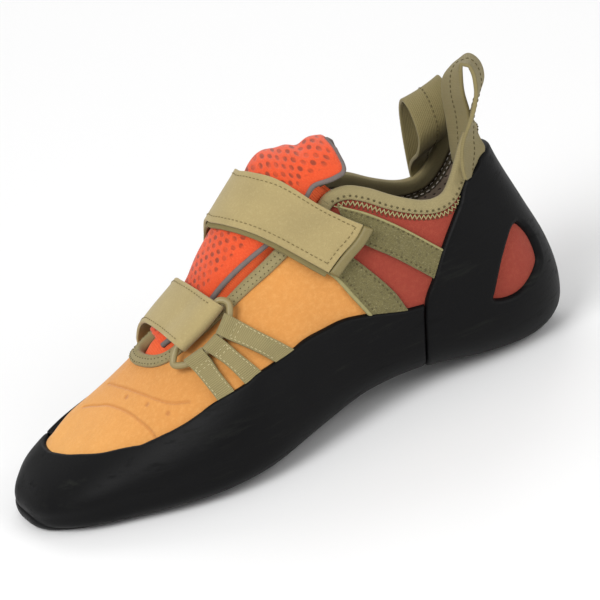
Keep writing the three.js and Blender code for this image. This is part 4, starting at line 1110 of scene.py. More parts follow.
# %% The finished upper
upper = sheet_object("upper", outer_skin, skin_height, quarter=quarter_share, toe=toe_share,
                     crease=crease_share, dots=dot_share)
finish_piece(upper, SUEDE, "suede", "upper")

# %% The lining
inner_skin = Sheet(np.linspace(1.8, 19, 190), np.linspace(-1, 1, 200))
inner_skin.keep(COLLAR_FIELD, 0.2).keep(THROAT_FIELD, 0.2)


def lining_place(sheet):
    """A flat place in millimetres for the pattern of holes."""
    points = read(LAST, sheet.s, sheet.v)
    return np.stack([points[:, 0] + 0.8 * points[:, 1], points[:, 2], 0 * sheet.s], 1)


OPENING_FIELD = np.minimum(COLLAR_FIELD, THROAT_FIELD)
lining = sheet_object("lining", inner_skin, -LEATHER, flip=True, place=lining_place, depth=OPENING_FIELD)
finish_piece(lining, LINING, "suede")

# %% [markdown]
# The rubber is three pieces: the sole, the rand round the toe and the sides, and
# the heel band that pulls the foot forward. Each is a sheet over the last with
# its thickness as height. Near an edge the height falls as a quarter circle, as
# ground rubber does, which a plain Solidify couldn't give.

# %% Heights shared by the rubber


def rubber_height(extra):
    """The rubber's thickness: the rand's on the sides, growing to the sole's as the
    surface turns down, by the normal's downward part to the power 1.5.
    """
    def height(sheet, edge=None, radius=1.6):
        n = read(NORMAL, sheet.s, sheet.v)
        down = np.maximum(0, -n[..., 2]) ** 1.5
        full = RAND + extra + (SOLE - RAND) * down
        return full if edge is None else full - RAND * 0.96 * (1 - bump(edge / radius))
    return height


def on_floor(points, n, sheet):
    """No point lies below the floor."""
    points[:, 2] = np.maximum(points[:, 2], 0.0)
    return points

# %% The rand
rand = Sheet(np.linspace(0.0, 14.2, 330), np.linspace(-1, 1, 420))
rand.keep(RAND_FIELD, 0.0, above=False).keep(SOLE_FIELD, -0.4).keep(HEEL_FIELD, GAP)
rand.split(RAND_FIELD, -0.5).split(RAND_FIELD, -1.2)


def rand_height(sheet):
    """Rounded at its top edge, and lower where heel band and sole meet it."""
    full = rubber_height(0.0)(sheet, -sheet.value(RAND_FIELD), 1.7)
    heel = bump((sheet.value(HEEL_FIELD) - GAP) / 0.9)
    sole = ease((sheet.value(SOLE_FIELD) + 0.4) / 1.2)
    return full - 0.6 * (1 - heel) - 0.35 * (1 - sole)


rand_piece = sheet_object("rand", rand, rand_height, shape=on_floor)
finish_piece(rand_piece, RUBBER, "rubber", "rand")

# %% The heel band
heel = Sheet(np.linspace(9.5, 19, 280), np.linspace(-1, 1, 420))
heel.keep(HEEL_FIELD, 0.0, above=False).keep(SOLE_FIELD, -0.4).keep(WINDOW_FIELD, 0.0)
heel.split(HEEL_FIELD, -0.5).split(HEEL_FIELD, -1.2).split(WINDOW_FIELD, 0.5).split(WINDOW_FIELD, 1.2)


def heel_height(sheet):
    """Rounded at its edge and at the windows, and lower where the sole meets it."""
    edge = np.minimum(-sheet.value(HEEL_FIELD), sheet.value(WINDOW_FIELD))
    full = rubber_height(HEEL_EDGE)(sheet)
    sole = ease((sheet.value(SOLE_FIELD) + 0.4) / 1.2)
    return full - (RAND + HEEL_EDGE) * 0.97 * (1 - bump(edge / 2.0)) - 0.35 * (1 - sole)


heel_piece = sheet_object("heel_band", heel, heel_height, shape=on_floor)
finish_piece(heel_piece, RUBBER, "rubber", "heel_band")

# %% The sole
sole = Sheet(np.linspace(0.0, 17.0, 300), np.linspace(-1, 1, 420))
sole.keep(SOLE_FIELD, 0.0, above=False)
sole.split(SOLE_FIELD, -0.4).split(SOLE_FIELD, -1.0)


def sole_height(sheet):
    """A little prouder than the rand, rounded at its edge."""
    full = rubber_height(SOLE_EDGE)(sheet)
    return full - (SOLE_EDGE + 0.5) * (1 - bump(-sheet.value(SOLE_FIELD) / 1.0))


sole_piece = sheet_object("outsole", sole, sole_height, shape=on_floor)
finish_piece(sole_piece, RUBBER, "sole", "outsole")

# %% [markdown]
# The free edges of the leather are bound with tape that is folded over them. The
# tape's section is drawn once, as distances from the edge and heights over the
# last, and is carried along the edge. A bevelled curve would float off the
# leather, while this section stays on it.

# %% The tape's section and the edge that it follows
# outward distance from the edge and height over the last; the inner leg ends the ring
TAPE_SECTION = np.array([
    [-4.7, 0.25], [-4.65, 0.9], [-4.4, 1.35], [-3.6, 1.5], [-2.2, 1.5], [-0.9, 1.45], [0.1, 1.3],
    [0.85, 0.7], [1.1, -0.3], [1.1, -1.7], [0.85, -2.7], [0.1, -3.3], [-1.2, -3.4], [-3.8, -3.4],
    [-4.8, -3.2], [-5.1, -2.6], [-4.6, -2.15], [-1.4, -2.1], [-0.2, -1.9], [-0.05, -0.2],
    [-1.4, 0.1], [-4.4, 0.15]])


# The collar's edge, found where the field passes zero on each column
columns = np.linspace(0.1, 1.9, 620)
wrapped = (columns + 1) % 2 - 1
levels = np.arange(11.0, 18.99, 0.02)
values = read(COLLAR_FIELD, levels[:, None] + 0 * wrapped[None, :], wrapped[None, :] + 0 * levels[:, None])
crossing = (values < 0).argmax(0)
low, high = values[crossing - 1, np.arange(620)], values[crossing, np.arange(620)]
collar_s = levels[crossing] - 0.02 * high / (high - low)
good = (crossing > 0) & (read(THROAT_FIELD, collar_s, wrapped) > 0)
collar_line = np.stack([collar_s, columns], 1)[good]
throat_sides = []
for k in (1, 2):
    edge = curve(THROAT[:, [0, k]], np.linspace(0, 1, 900))
    throat_sides.append(edge[read(COLLAR_FIELD, edge[:, 0], edge[:, 1]) > 0.3])
inner = throat_sides[1][::-1] + [0.0, 2.0]
loop = np.vstack([throat_sides[0], collar_line, inner[:-1] ])
loop = even(loop, 900, on_last(loop[:, 0], (loop[:, 1] + 1) % 2 - 1)[0])
for _ in range(40):  # soften the corners; the first and last point meet at the throat's front
    ahead, behind = np.roll(loop, -1, 0), np.roll(loop, 1, 0)
    ahead[-1] = loop[0] + [0, 2]
    behind[0] = loop[-1] - [0, 2]
    loop = 0.25 * ahead + 0.5 * loop + 0.25 * behind
loop_s, loop_v = loop[:, 0], (loop[:, 1] + 1) % 2 - 1
loop_points, loop_normals = on_last(loop_s, loop_v)
loop_tangent = unit(np.roll(loop_points, -1, 0) - np.roll(loop_points, 1, 0))
loop_side = unit(np.cross(loop_normals, loop_tangent))
probe = walk(loop_s, loop_v, loop_side, 1.0)
turned = np.sign((read(OPENING_FIELD, *probe) - read(OPENING_FIELD, loop_s, loop_v)).sum())
loop_side *= -turned  # toward the opening
loop_run = lengths_of(loop_points)
print(f"tape round collar and throat: {loop_run[-1]:.0f} mm")

# %% The tape, split at the seam into collar and throat

def tape_row(off, height):
    """The edge line moved off along the surface, or out past the edge, at a height."""
    if off < 0:
        return on_last(*walk(loop_s, loop_v, loop_side, off), height)
    return loop_points + loop_side * off + loop_normals * height, loop_normals


def tape_object(name, chosen):
    """The tape's section carried along the chosen part of the edge."""
    rows = [tape_row(off, height)[0][chosen] for off, height in TAPE_SECTION]
    places = [np.stack([np.full(len(chosen), off + 2.0), loop_run[chosen], np.full(len(chosen), height)], 1)
              for off, height in TAPE_SECTION]
    obj = tube_object(name, np.stack(rows, 1), np.stack(places, 1))
    return finish_piece(obj, TAPE_LOOK, "tape", name)


SEAM_X = 0.352 * LENGTH
behind_seam = np.where(loop_points[:, 0] < SEAM_X)[0]
collar_rows = np.arange(behind_seam[0], behind_seam[-1] + 1)
throat_rows = np.concatenate([np.arange(collar_rows[-1], 900), np.arange(0, collar_rows[0] + 1)])
tape_object("collar_binding", collar_rows)
tape_object("throat_binding", throat_rows)


def tape_line(rows, off, height=1.5):
    """A seam's line on the tape, with its normals."""
    points, normals = tape_row(off, height)
    return points[rows], normals[rows]

# %% Seams of the bindings and the lining
stitches_object("throat_stitches",
                [tape_line(throat_rows[3:-3], -4.1, 1.43), tape_line(throat_rows[3:-3], -0.7, 1.42)],
                THREAD_TAPE, "tape", 1.3, 0.5, 0.17, zigzag=0.8)
# dark bars sunk into the tape's stitch holes: painted shade in the holes
stitches_object("throat_hole_shade",
                [tape_line(throat_rows[3:-3], -3.7, 1.5), tape_line(throat_rows[3:-3], -1.5, 1.47)],
                DARK_THREAD_AND_HOLE_SHADE, "tape", 0.55, 1.5, 0.24, sink=0.2)
inside = []
for off in (-6.0, -7.8):
    points, normals = tape_row(off, -LEATHER - 0.05)
    inside.append((points[collar_rows[4:-4]], -normals[collar_rows[4:-4]]))
stitches_object("lining_stitches", inside, THREAD_WHITE, "suede", 1.6, 1.1, 0.26)
stitches_object("collar_stitches", [tape_line(collar_rows[3:-3], -3.3, 1.5)],
                DARK_THREAD_AND_HOLE_SHADE, "tape", 0.9, 1.5, 0.42, sink=0.3)
stitches_object("collar_overlock", [tape_line(collar_rows[3:-3], -5.9, 0.3)],
                THREAD_TAPE, "tape", 2.4, -1.5, 0.26, zigzag=1.8)
# dark bars sunk into the holes in the suede below the collar tape: painted shade in the holes
stitches_object("collar_edge_hole_shade", [tape_line(collar_rows[3:-3], -7.2, 0.1)],
                DARK_THREAD_AND_HOLE_SHADE, "tape", 0.6, 1.3, 0.26, sink=0.12)

# %% [markdown]
# The tongue is padded mesh with a piped edge, and stretch gussets join it to the
# upper. It is a closed tube over the last: a top and a lower side that meet at
# the piping. Cloth simulation could pad it, but a drawn crown, two lobes and a
# fold give the same form each time.

# %% The tongue's outline and its two sides
TONGUE_EDGE = np.array([
    [6.75, 0.08, -0.06], [7.1, 0.1, -0.075], [7.4, 0.112, -0.085], [7.7, 0.12, -0.09],
    [8.2, 0.128, -0.095], [8.8, 0.143, -0.104], [9.2, 0.153, -0.11], [9.8, 0.165, -0.116],
    [10.5, 0.155, -0.12], [11.2, 0.145, -0.125], [11.7, 0.125, -0.122], [12.4, 0.105, -0.12],
    [13.3, 0.112, -0.135], [14.1, 0.1, -0.13], [14.65, 0.04, -0.07]])
t_rows = np.linspace(0, 1, 150)
t_s, t_out = curve(TONGUE_EDGE[:, [0, 1]], t_rows).T
t_in = curve(TONGUE_EDGE[:, [0, 2]], t_rows)[:, 1]


def tongue_points(share, height):
    """Points over the tongue: share from its inner to its outer edge."""
    share = np.broadcast_to(share, (len(t_s), np.shape(share)[-1]))
    s = np.repeat(t_s[:, None], share.shape[1], 1)
    v = t_in[:, None] + (t_out - t_in)[:, None] * share
    return on_last(s, v, height(s, v, share) if callable(height) else height)


def lumps(s, share):
    """Loose padding over the strap: two lobes with a fold between them."""
    top = ease((s - 12.0) / 1.0)
    ripple = 0.45 * np.sin(share * 9.0 + s * 1.3) * np.sin(s * 2.6 + 0.7)
    fold = -2.0 * np.exp(-(((s - 13.0 - 0.5 * (share - 0.5)) / 0.42) ** 2)) * (1 - ease((share - 0.5) / 0.35))
    return top * (ripple * np.sin(np.pi * share) + fold)

# %% The tongue's rounded sides

def tongue_top(s, v, share):
    """The upper side: a sine crown, rounded at the edges and the tip, with the lobes on top."""
    edge = bump(np.minimum(share, 1 - share) / 0.16)
    tip = bump((14.66 - s) / 0.25)
    crown = 1.0 * np.sin(np.pi * share)
    return rise(s, v) + GAP - TONGUE * 0.5 * (1 - edge * tip) + crown * tip + lumps(s, share)


def tongue_low(s, v, share):
    """The lower side, rounded toward the piping."""
    edge = bump(np.minimum(share, 1 - share) / 0.16)
    return rise(s, v) + GAP - TONGUE * 0.5 - TONGUE * 0.5 * edge * bump((14.66 - s) / 0.25)

# %% The tongue
across = np.linspace(0, 1, 61)
top_side, _ = tongue_points(across, tongue_top)
low_side, _ = tongue_points(across[::-1][1:-1], tongue_low)
rings = np.concatenate([top_side, low_side], 1)
width_mm = np.linalg.norm(top_side[:, -1] - top_side[:, 0], axis=1)[:, None]
along_mm = lengths_of(top_side[:, 30])[:, None]
share_all = np.concatenate([across, across[::-1][1:-1]])[None, :]
tongue_place = np.stack(np.broadcast_arrays((share_all - 0.5) * width_mm, along_mm, 0.0), -1)
margin = np.minimum(share_all, 1 - share_all) * width_mm
to_the_tip = along_mm[-1] - along_mm
tongue_field = ease((margin - 3.2) / 1.2) * ease((to_the_tip - 3.5) / 1.5)
tongue = tube_object("tongue", rings, tongue_place, field=tongue_field)
finish_piece(tongue, MESH, "mesh", "tongue")

# %% The tongue's root
root = Sheet(np.linspace(5.7, 8.4, 60), np.linspace(-0.17, 0.17, 60))


def root_height(sheet):
    """The root sags below the throat and folds a little."""
    middle = np.clip(1 - (np.abs(sheet.v - 0.01) / 0.11) ** 2, 0, 1)
    front = ease((sheet.s - 6.1) / 0.5)
    fold = 0.7 * np.sin(sheet.s * 9 + sheet.v * 40)
    return -3.4 + (1.9 + 0.5 * fold) * middle * front


def root_place(sheet):
    """A flat place in millimetres for the fabric's ribs."""
    return np.stack([sheet.v * 118, sheet.s * 20, 0 * sheet.s], 1)


root_piece = sheet_object("tongue_root", root, root_height, place=root_place)
finish_piece(root_piece, GUSSET, "mesh")

# %% Piping and gussets

def piping_object(name, path, radius, material, slot, sides=10):
    """A tube along a path of points."""
    path = even(path, max(12, int(lengths_of(path)[-1] / 0.9)))
    tangent = unit(np.gradient(path, axis=0))
    side = unit(np.cross(tangent, np.array([0.31, 0.2, 0.93])))
    top = np.cross(side, tangent)
    q = np.arange(sides) / sides * 2 * np.pi
    rings = path[:, None] + radius * (
        side[:, None] * np.cos(q)[None, :, None] + top[:, None] * np.sin(q)[None, :, None])
    place = np.stack(np.broadcast_arrays(q[None, :] * radius, lengths_of(path)[:, None], 0.0), -1)
    return finish_piece(tube_object(name, rings, place), material, slot)


edge_height = lambda s, v, share: rise(s, v) + GAP - TONGUE * 0.5
outer_path = tongue_points(np.array([1.0]), edge_height)[0][:, 0]
inner_path = tongue_points(np.array([0.0]), edge_height)[0][:, 0]
tip_path = tongue_points(np.linspace(0, 1, 12)[1:-1], edge_height)[0][-1]
piping = np.vstack([outer_path, tip_path[::-1], inner_path[::-1]])
piping_object("tongue_piping", piping, 1.2, PIPING, "mesh")

for side, edge, sign in (("outer", t_out, 1), ("inner", t_in, -1)):
    steps = np.array([0.0, 0.012, 0.03, 0.05, 0.075])
    drops = np.array([-1.6, -2.4, -3.6, -4.4, -4.8])
    rows_s = np.repeat(t_s[:, None], 5, 1)
    rows_v = edge[:, None] + sign * steps[None, :]
    base = rise(rows_s, rows_v) * np.array([1, 0.7, 0.3, 0.1, 0])[None, :]
    used = t_s < 12.6
    points, _ = on_last(rows_s[used], rows_v[used], base[used] + drops[None, :])
    place = np.stack(np.broadcast_arrays(
        (steps * 118)[None, :], lengths_of(points[:, 0])[:, None], 0.0), -1)
    gusset = mesh_object(f"gusset_{side}", points.reshape(-1, 3), grid_faces(used.sum(), 5),
                         place=place.reshape(-1, 3))
    finish_piece(gusset, GUSSET, "mesh")

# %% [markdown]
# Two straps close the shoe. The instep strap ends in a rubber tab over the patch,
# and the front strap is folded round a wire ring that three webbing strips hold.
# All are bands on the last, so that they bend over the tongue as cloth does.

# %% Edge lines of straps and webbing: section and share, back edge then front edge
INSTEP_STRAP = Band([
    [12.53, 0.266, 10.56, 0.365], [12.0, 0.18, 10.12, 0.245], [11.42, 0.089, 9.68, 0.13],
    [10.95, 0.03, 9.3, 0.045], [10.55, -0.02, 9.0, -0.025], [10.1, -0.12, 8.66, -0.13],
    [9.8, -0.25, 8.4, -0.255], [9.65, -0.42, 8.25, -0.42]])
FRONT_STRAP = Band([
    [8.23, 0.201, 7.13, 0.213], [8.05, 0.12, 6.98, 0.115], [7.75, -0.045, 6.72, -0.075],
    [7.6, -0.17, 6.55, -0.19], [7.5, -0.29, 6.4, -0.3], [7.45, -0.42, 6.32, -0.42]])
WEBBING_EDGES = [
    [[8.25, 0.24, 7.9, 0.268], [8.6, 0.35, 8.27, 0.36], [9.03, 0.469, 8.63, 0.46], [9.2, 0.52, 8.8, 0.52]],
    [[7.88, 0.268, 7.52, 0.274], [8.08, 0.355, 7.75, 0.355], [8.31, 0.445, 7.93, 0.44], [8.4, 0.5, 8.05, 0.5]],
    [[7.5, 0.272, 7.09, 0.265], [7.56, 0.35, 7.21, 0.35], [7.68, 0.433, 7.31, 0.43], [7.75, 0.5, 7.38, 0.5]]]
STRAP_BASE = GAP + TAPE + 2 * GAP
UNDER_LOW = max(STRAP_BASE, GAP + PATCH + 2 * GAP)
UNDER_HIGH = UNDER_LOW + STRAP
INSTEP_LOW = UNDER_HIGH + GAP
for words, band in (("instep strap", INSTEP_STRAP), ("front strap", FRONT_STRAP)):
    print(f"{words}: {band.width:.0f} mm wide, {band.length:.0f} mm long")

# %% The instep strap and its tab
strap = strip_object("strap_instep", INSTEP_STRAP, 0.0, INSTEP_STRAP.length, INSTEP_LOW, STRAP,
                     across=34, step=0.8)
finish_piece(strap, STRAP_LOOK, "strap", "strap_instep")
under_end = INSTEP_STRAP.length * 8 / 13
under = strip_object("strap_instep_under", INSTEP_STRAP, 0.0, under_end, UNDER_LOW, STRAP,
                     across=24, wider=1.6)
finish_piece(under, STRAP_DARK, "strap", "strap_instep_under")
tab = strip_object("strap_tab", INSTEP_STRAP, -4.3, -0.35, UNDER_HIGH - 0.1, 2.7,
                   across=24, step=0.4, round_off=1.3, end_round=1.6)
finish_piece(tab, TAB_LOOK, "tab", "strap_tab")

# %% The instep strap's seams

def band_line(band, start, end, offset, low, count=160):
    """A line along a band, offset millimetres in from its back or, if negative, front edge."""
    share = offset / band.width if offset >= 0 else 1 + offset / band.width
    mm = np.linspace(start, end, count)
    places = band.place(mm, np.full(count, share))
    covered = np.minimum(read(RAND_FIELD, *places), read(HEEL_FIELD, *places)) < 1.0
    mm = mm[: covered.argmax()] if covered.any() else mm
    return band.points(mm, np.full(len(mm), share), low)


def top_of(low, thickness):
    """The height of a strip's top face."""
    return lambda mm_, across_, s, v: under_rubber(s, v, low) + thickness


strap_top = top_of(INSTEP_LOW, STRAP)
crossing_share = np.linspace(0.07, 0.93, 60)
end_row = INSTEP_STRAP.points(np.full(60, 2.6), crossing_share, strap_top)
stitches_object("strap_instep_stitches", [
    band_line(INSTEP_STRAP, 2.6, INSTEP_STRAP.length - 6, 2.4, strap_top),
    band_line(INSTEP_STRAP, 2.6, INSTEP_STRAP.length - 6, -2.4, strap_top), end_row],
    THREAD_STRAP, "strap", 1.25, 0.8, 0.18)

# %% The folded front strap
# The fold's path holds lengths along the strap and heights, for its outer and inner face


def folded_object(name, band, thickness, slack, height, start, folded, closes, across=16, step=0.9):
    """A strap folded round a bar: back over the top, half a circle round the bar and
    forward again below. The two layers close over a short length behind the bar.
    """
    r = WIRE + slack
    outer_r = r + thickness
    sink = 2 * r - GAP
    end = band.length
    under_to = min(folded, end)
    top_mm = np.linspace(end, start, max(6, int((end - start) / step)))
    down = sink * ease((top_mm - start) / closes)
    path = [np.stack([top_mm, height + outer_r - down, top_mm, height + r - down], 1)[:-1]]
    q = np.pi / 2 + np.linspace(0, np.pi, 14)
    path.append(np.stack([start + outer_r * np.cos(q), height + outer_r * np.sin(q),
                          start + r * np.cos(q), height + r * np.sin(q)], 1))
    back = np.linspace(start, under_to, max(6, int((under_to - start) / step)))[1:]
    path.append(np.stack([back, 0 * back + height - outer_r, back, 0 * back + height - r], 1))
    path = np.vstack(path)
    run = np.concatenate([[0], np.cumsum(np.hypot(np.diff(path[:, 0]), np.diff(path[:, 1])))])
    u, h = slab_ring(band.width, thickness, across, 0.4)
    mix_ = (h / thickness)[None, :]
    mm = path[:, 0:1] * mix_ + path[:, 2:3] * (1 - mix_)
    level = path[:, 1:2] * mix_ + path[:, 3:4] * (1 - mix_)

    def at_height(mm_, across_, s, v):
        f = np.minimum(read(RAND_FIELD, s, v), read(HEEL_FIELD, s, v))
        return 0.2 + (level - 0.2) * (0.42 + 0.58 * ease(f / 7))

    points, _ = band.points(mm, (u / band.width)[None, :], at_height)
    place = np.stack(np.broadcast_arrays(u[None, :], run[:, None], level), -1)
    return tube_object(name, points, place)


bar_height = STRAP_BASE + STRAP + GAP + WIRE
wire_height = 2 * GAP + WEBBING + 2 * GAP + WIRE
FRONT_BAR = WIRE + GAP + STRAP
front = folded_object("strap_front", FRONT_STRAP, STRAP, GAP, bar_height, FRONT_BAR - 1.3, 17, 12, across=26)
finish_piece(front, STRAP_LOOK, "strap", "strap_front")


def folded_top(height, thickness, slack, start, closes):
    """The height of the top face of such a strap, for its stitches."""
    r = WIRE + slack

    def at_height(mm, across_, s, v):
        f = np.minimum(read(RAND_FIELD, s, v), read(HEEL_FIELD, s, v))
        level = height + r + thickness - (2 * r - GAP) * ease((mm - start) / closes)
        return 0.2 + (level - 0.2) * (0.42 + 0.58 * ease(f / 7))
    return at_height


front_top = folded_top(bar_height, STRAP, GAP, FRONT_BAR - 1.3, 12)
stitches_object("strap_front_stitches", [
    band_line(FRONT_STRAP, FRONT_BAR - 1, FRONT_STRAP.length - 6, 2.0, front_top),
    band_line(FRONT_STRAP, FRONT_BAR - 1, FRONT_STRAP.length - 6, -2.0, front_top)],
    THREAD_STRAP, "strap", 1.25, 0.8, 0.18)

# %% Webbing strips
webbings = [Band(table) for table in WEBBING_EDGES]
for i, band in enumerate(webbings):
    strip = folded_object(f"webbing_{i + 1}", band, WEBBING, 0.1, wire_height, 0.0, 300.0, 4.2,
                          across=10, step=0.45)
    finish_piece(strip, WEBBING_LOOK, "webbing", f"webbing_{i + 1}")
    top = folded_top(wire_height, WEBBING, 0.1, 0.0, 4.2)
    stitches_object(f"webbing_{i + 1}_stitches", [
        band_line(band, 3.4, band.length - 5, 0.9, top), band_line(band, 3.4, band.length - 5, -0.9, top),
        band.points(np.full(20, 3.6), np.linspace(0.08, 0.92, 20), top),
        band.points(np.full(20, 5.4), np.linspace(0.08, 0.92, 20), top)],
        THREAD_PALE, "webbing", 1.1, 0.7, 0.2)

# %% [markdown]
# The ring is bent from wire. Its path runs through the strap's fold, round two
# corners and through the three folds of webbing, and a circle is carried along
# it. The ring stays put: it could swing only a few degrees in its folds.

# %% The ring
bar_points = FRONT_STRAP.points(np.full(7, FRONT_BAR - 1.3), np.linspace(1.04, -0.04, 7), bar_height)[0]
corner_s, corner_v = np.array([8.36, 6.86]), np.array([0.212, 0.234])
corners = on_last(corner_s, corner_v, 0.5 * (wire_height + bar_height) + rise(corner_s, corner_v))[0]
webbing_points = [band.points(np.zeros(2), np.array([0.12, 0.88]), wire_height)[0] for band in webbings]
ring_path = np.vstack([bar_points, corners[:1], *webbing_points, corners[1:]])
ring_path = curve(ring_path, np.linspace(0, 1, 400), closed=True)
ring_path = even(np.vstack([ring_path, ring_path[:1]]), 121)[:-1]
tangent = unit(np.roll(ring_path, -1, 0) - np.roll(ring_path, 1, 0))
ring_up = on_last(np.array([7.7]), np.array([0.24]))[1][0]
ring_side = unit(np.cross(tangent, ring_up))
ring_top = np.cross(ring_side, tangent)
q = np.arange(16) / 16 * 2 * np.pi
rings = ring_path[:, None] + WIRE * (
    ring_side[:, None] * np.cos(q)[None, :, None] + ring_top[:, None] * np.sin(q)[None, :, None])
points = rings.reshape(-1, 3)
around = np.arange(16)
last_circle = (len(ring_path) - 1) * 16
closed = np.vstack([grid_faces(len(ring_path), 16, ring=True), np.stack([
    last_circle + around, around, (around + 1) % 16, last_circle + (around + 1) % 16], 1)])
closed = outward_faces(points, closed, np.repeat(ring_path, 16, axis=0))
ring = mesh_object("ring", points, closed)
finish_piece(ring, RING_LOOK, "ring", "ring")

# %% [markdown]
# The patch on the outer quarter has two arms in a V, with pressed edges. Its
# rough face comes from the material, its thickness and its edging from meshes.

# %% The hook-and-loop patch
PATCH_UPPER = Band([
    [12.45, 0.18, 11.75, 0.27], [13.05, 0.245, 11.98, 0.34], [13.45, 0.335, 12.3, 0.415],
    [13.68, 0.46, 12.55, 0.525], [13.75, 0.54, 12.6, 0.62]])
PATCH_LOWER = Band([
    [11.2, 0.3, 10.35, 0.28], [11.38, 0.365, 10.46, 0.335], [11.49, 0.457, 10.64, 0.397],
    [11.51, 0.531, 10.68, 0.478], [11.44, 0.595, 10.71, 0.555], [11.4, 0.66, 10.71, 0.63]])
PATCH_LOW = 1.3 * GAP
for name, band in (("patch_upper", PATCH_UPPER), ("patch_lower", PATCH_LOWER)):
    arm = strip_object(name, band, 0.0, band.length, PATCH_LOW, PATCH, across=16, step=1.0, round_off=0.5)
    finish_piece(arm, PATCH_LOOK, "patch", name)
patch_top = top_of(PATCH_LOW, PATCH)
front_edge = PATCH_LOWER.part(-0.9, PATCH_LOWER.width + 0.5)
edging = strip_object("patch_edging", front_edge, 1.0, front_edge.length, 0.3, PATCH + 0.35,
                      across=6, step=1.0, round_off=0.5)
finish_piece(edging, EDGING, "patch")
back_edge = PATCH_UPPER.part(0.0, 1.0)
edging = strip_object("patch_edging_back", back_edge, 1.0, back_edge.length, 0.3, PATCH + 0.3,
                      across=6, step=1.0, round_off=0.5)
finish_piece(edging, EDGING, "patch")
stitches_object("patch_stitches", [
    band_line(PATCH_UPPER, 2, PATCH_UPPER.length, 1.3, patch_top),
    band_line(PATCH_UPPER, 2, PATCH_UPPER.length, -1.3, patch_top),
    band_line(PATCH_LOWER, 2, PATCH_LOWER.length, 1.3, patch_top),
    band_line(PATCH_LOWER, 2, PATCH_LOWER.length, -2.2, patch_top)],
    DARK_THREAD_AND_HOLE_SHADE, "patch", 0.7, 1.5, 0.28, sink=0.2)

# %% [markdown]
# An insole board lies inside the shoe. Two loops of webbing at the heel help to
# pull the shoe on. A loop is a flat section carried along a curve in space, and
# its turns come from where its two edges are seen in the photograph.

# %% The insole board
bed = Sheet(np.linspace(2.9, 13.6, 90), np.linspace(0.75, 1.25, 40))
insole = sheet_object("insole", bed, -LEATHER - 3.5 * GAP, flip=True, place=lining_place)
finish_piece(insole, BOARD, "board", "insole")

# %% The pull loops
# Where the two edges of the outer loop are seen, in the photograph's own pixels, with the sideways place of
# its middle in millimetres
LOOP_OUTER = np.array([
    [459, 170, 470, 173, 10.5], [454, 155, 468, 157, 9.0], [450, 130, 469, 131, 6.0],
    [447, 111, 468, 115, 4.5], [444, 92, 462, 94, 3.5], [445, 76, 460, 76, 3.5],
    [453, 65, 460, 67, 4.0], [461, 58, 463, 67, 4.5], [470, 52.5, 468, 69, 5.5],
    [480, 60, 472, 77, 7.5], [484, 74, 474, 88, 9.5], [480, 89, 474.5, 97, 11.5],
    [475, 104, 473, 108, 13.0], [473, 115, 471, 116, 14.5], [475.5, 126, 467, 128, 15.5],
    [481, 138, 462, 141, 16.2], [485, 147, 460, 154, 17.0], [481, 160, 461, 169, 18.0],
    [476, 172, 464, 181, 18.0]])

# %% The inner loop's middles and width directions, as shares
LOOP_INNER = np.array([
    [0.13, -0.3, 0.76, -0.47, -0.08, 0.1], [0.127, -0.3, 0.86, -0.47, -0.07, 0.1],
    [0.12, -0.3, 1.0, -0.48, -0.03, 0.11], [0.115, -0.26, 1.12, -0.48, 0.0, 0.11],
    [0.112, -0.18, 1.185, -0.48, 0.0, 0.11], [0.111, -0.09, 1.15, -0.48, 0.0, 0.11],
    [0.113, -0.05, 1.05, -0.48, -0.03, 0.11], [0.119, -0.1, 0.96, -0.47, -0.05, 0.1],
    [0.126, -0.21, 0.89, -0.47, -0.07, 0.1], [0.13, -0.268, 0.83, -0.47, -0.08, 0.1],
    [0.13, -0.273, 0.77, -0.47, -0.08, 0.1]])

# %% From edges in the picture to a loop in space

def seen_edges(table):
    """Middles and width directions of a band from its two edges in the picture.

    A ray through the pixel meets the plane of the given sideways place; the part of
    the width that isn't seen across the picture points at the camera.
    """
    eye = TARGET + toward * DISTANCE - SHIFT
    middle = (table[:, 0:2] + table[:, 2:4]) / 2 - CENTRE_PX
    ray = right * middle[:, :1] - up * middle[:, 1:] - toward * PIXELS_PER_MM * DISTANCE
    reach = (table[:, 4:] - eye[1]) / ray[:, 1:2]
    scale = reach * (table[:, 2:4] - table[:, 0:2])
    flat = right * scale[:, :1] - up * scale[:, 1:]
    away = np.sqrt(np.maximum(LOOP_WIDTH ** 2 - (flat ** 2).sum(1, keepdims=True), 0))
    return eye + ray * reach, flat + toward * away


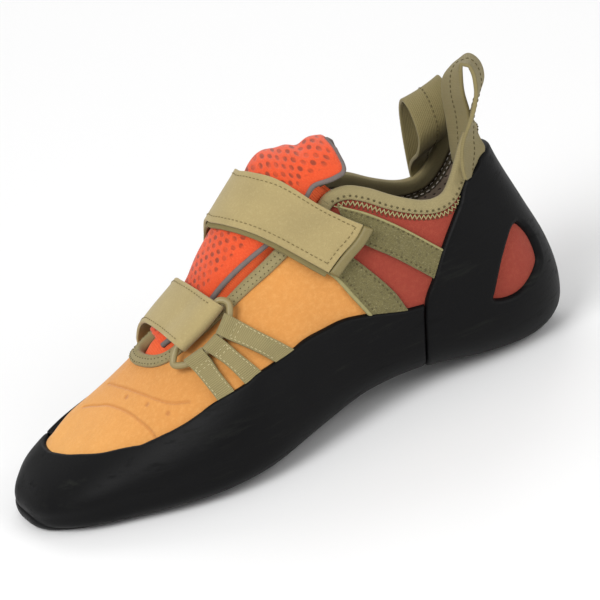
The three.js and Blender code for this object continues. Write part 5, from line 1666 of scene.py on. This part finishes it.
def loop_object(name, middles, widths, cup=0.0):
    """A loop of webbing: a flat section carried along the curve through its middles."""
    t = np.linspace(0, 1, 150)
    centre, across_ = curve(middles, t), unit(curve(widths, t))
    top = unit(np.cross(across_, np.gradient(centre, axis=0)))
    u, h = slab_ring(LOOP_WIDTH, LOOP_WEBBING, 14, 0.5)
    bend = cup * (1 - (2 * u / LOOP_WIDTH - 1) ** 2)
    rings = (centre[:, None] + across_[:, None] * (u - LOOP_WIDTH / 2)[None, :, None]
             + top[:, None] * (h + bend - LOOP_WEBBING / 2)[None, :, None])
    place = np.stack(np.broadcast_arrays(u[None, :], lengths_of(centre)[:, None], 0.0), -1)
    finish_piece(tube_object(name, rings, place), LOOP_LOOK, "webbing", name)
    lines = [(centre + top * (cup + sign * LOOP_WEBBING / 2), sign * top) for sign in (1, -1)]
    stitches_object(f"{name}_stitches", lines, DARK_THREAD_AND_HOLE_SHADE, "webbing", 1.2, 0.9, 0.24, sink=0.14)


loop_object("pull_loop_outer", *seen_edges(LOOP_OUTER))
loop_object("pull_loop_inner", LOOP_INNER[:, :3] * [LENGTH, WIDTH, HEIGHT], LOOP_INNER[:, 3:], 0.6)

# %% [markdown]
# The shoe stands on a plain pale floor under three soft lamps, as in a product photograph. A white world lifts
# the shadows.

# %% The floor
floor_mesh = bpy.data.meshes.new("floor")
half = 3.0  # metres
floor_corners = [(-half, -half, 0), (half, -half, 0), (half, half, 0), (-half, half, 0)]
floor_mesh.from_pydata(floor_corners, [], [(0, 1, 2, 3)])
floor_obj = bpy.data.objects.new("floor", floor_mesh)
collection.objects.link(floor_obj)
FLOOR = new_material("floor", lambda g: (
    g.group(MOTTLED, {"Colour": (0.86, 0.86, 0.86, 1), "Patch": 400.0, "Grain": 3.0, "Strength": 0.01}),
    g.group(GRAIN, {"Size": 4.0, "Depth": 0.0, "Height": 0.0}), None), 0.9)
floor_mesh.materials.append(FLOOR)

# %% The world and the lamps
world = bpy.data.worlds.new("studio")
scene.world = world
world.use_nodes = True
world.node_tree.nodes["Background"].inputs[0].default_value = (1, 1, 1, 1)
world.node_tree.nodes["Background"].inputs[1].default_value = 0.5


def softbox(name, place, size, power, target=(0, 0, 0.04)):
    """A rectangular lamp that looks at the shoe."""
    light = bpy.data.lights.new(name, "AREA")
    light.shape = "RECTANGLE"
    light.size, light.size_y, light.energy = size[0], size[1], power
    obj = bpy.data.objects.new(name, light)
    collection.objects.link(obj)
    aim = (Vector(target) - Vector(place)).to_track_quat("-Z", "Y").to_matrix().to_4x4()
    obj.matrix_world = Matrix.Translation(Vector(place)) @ aim


softbox("key", (0.7, 0.6, 1.1), (0.8, 0.8), 13.0)
softbox("fill", (-0.9, 0.9, 0.7), (0.9, 0.7), 6.0)
softbox("back", (-0.2, -1.0, 0.9), (1.0, 0.6), 5.0)
scene.view_settings.view_transform = "Standard"
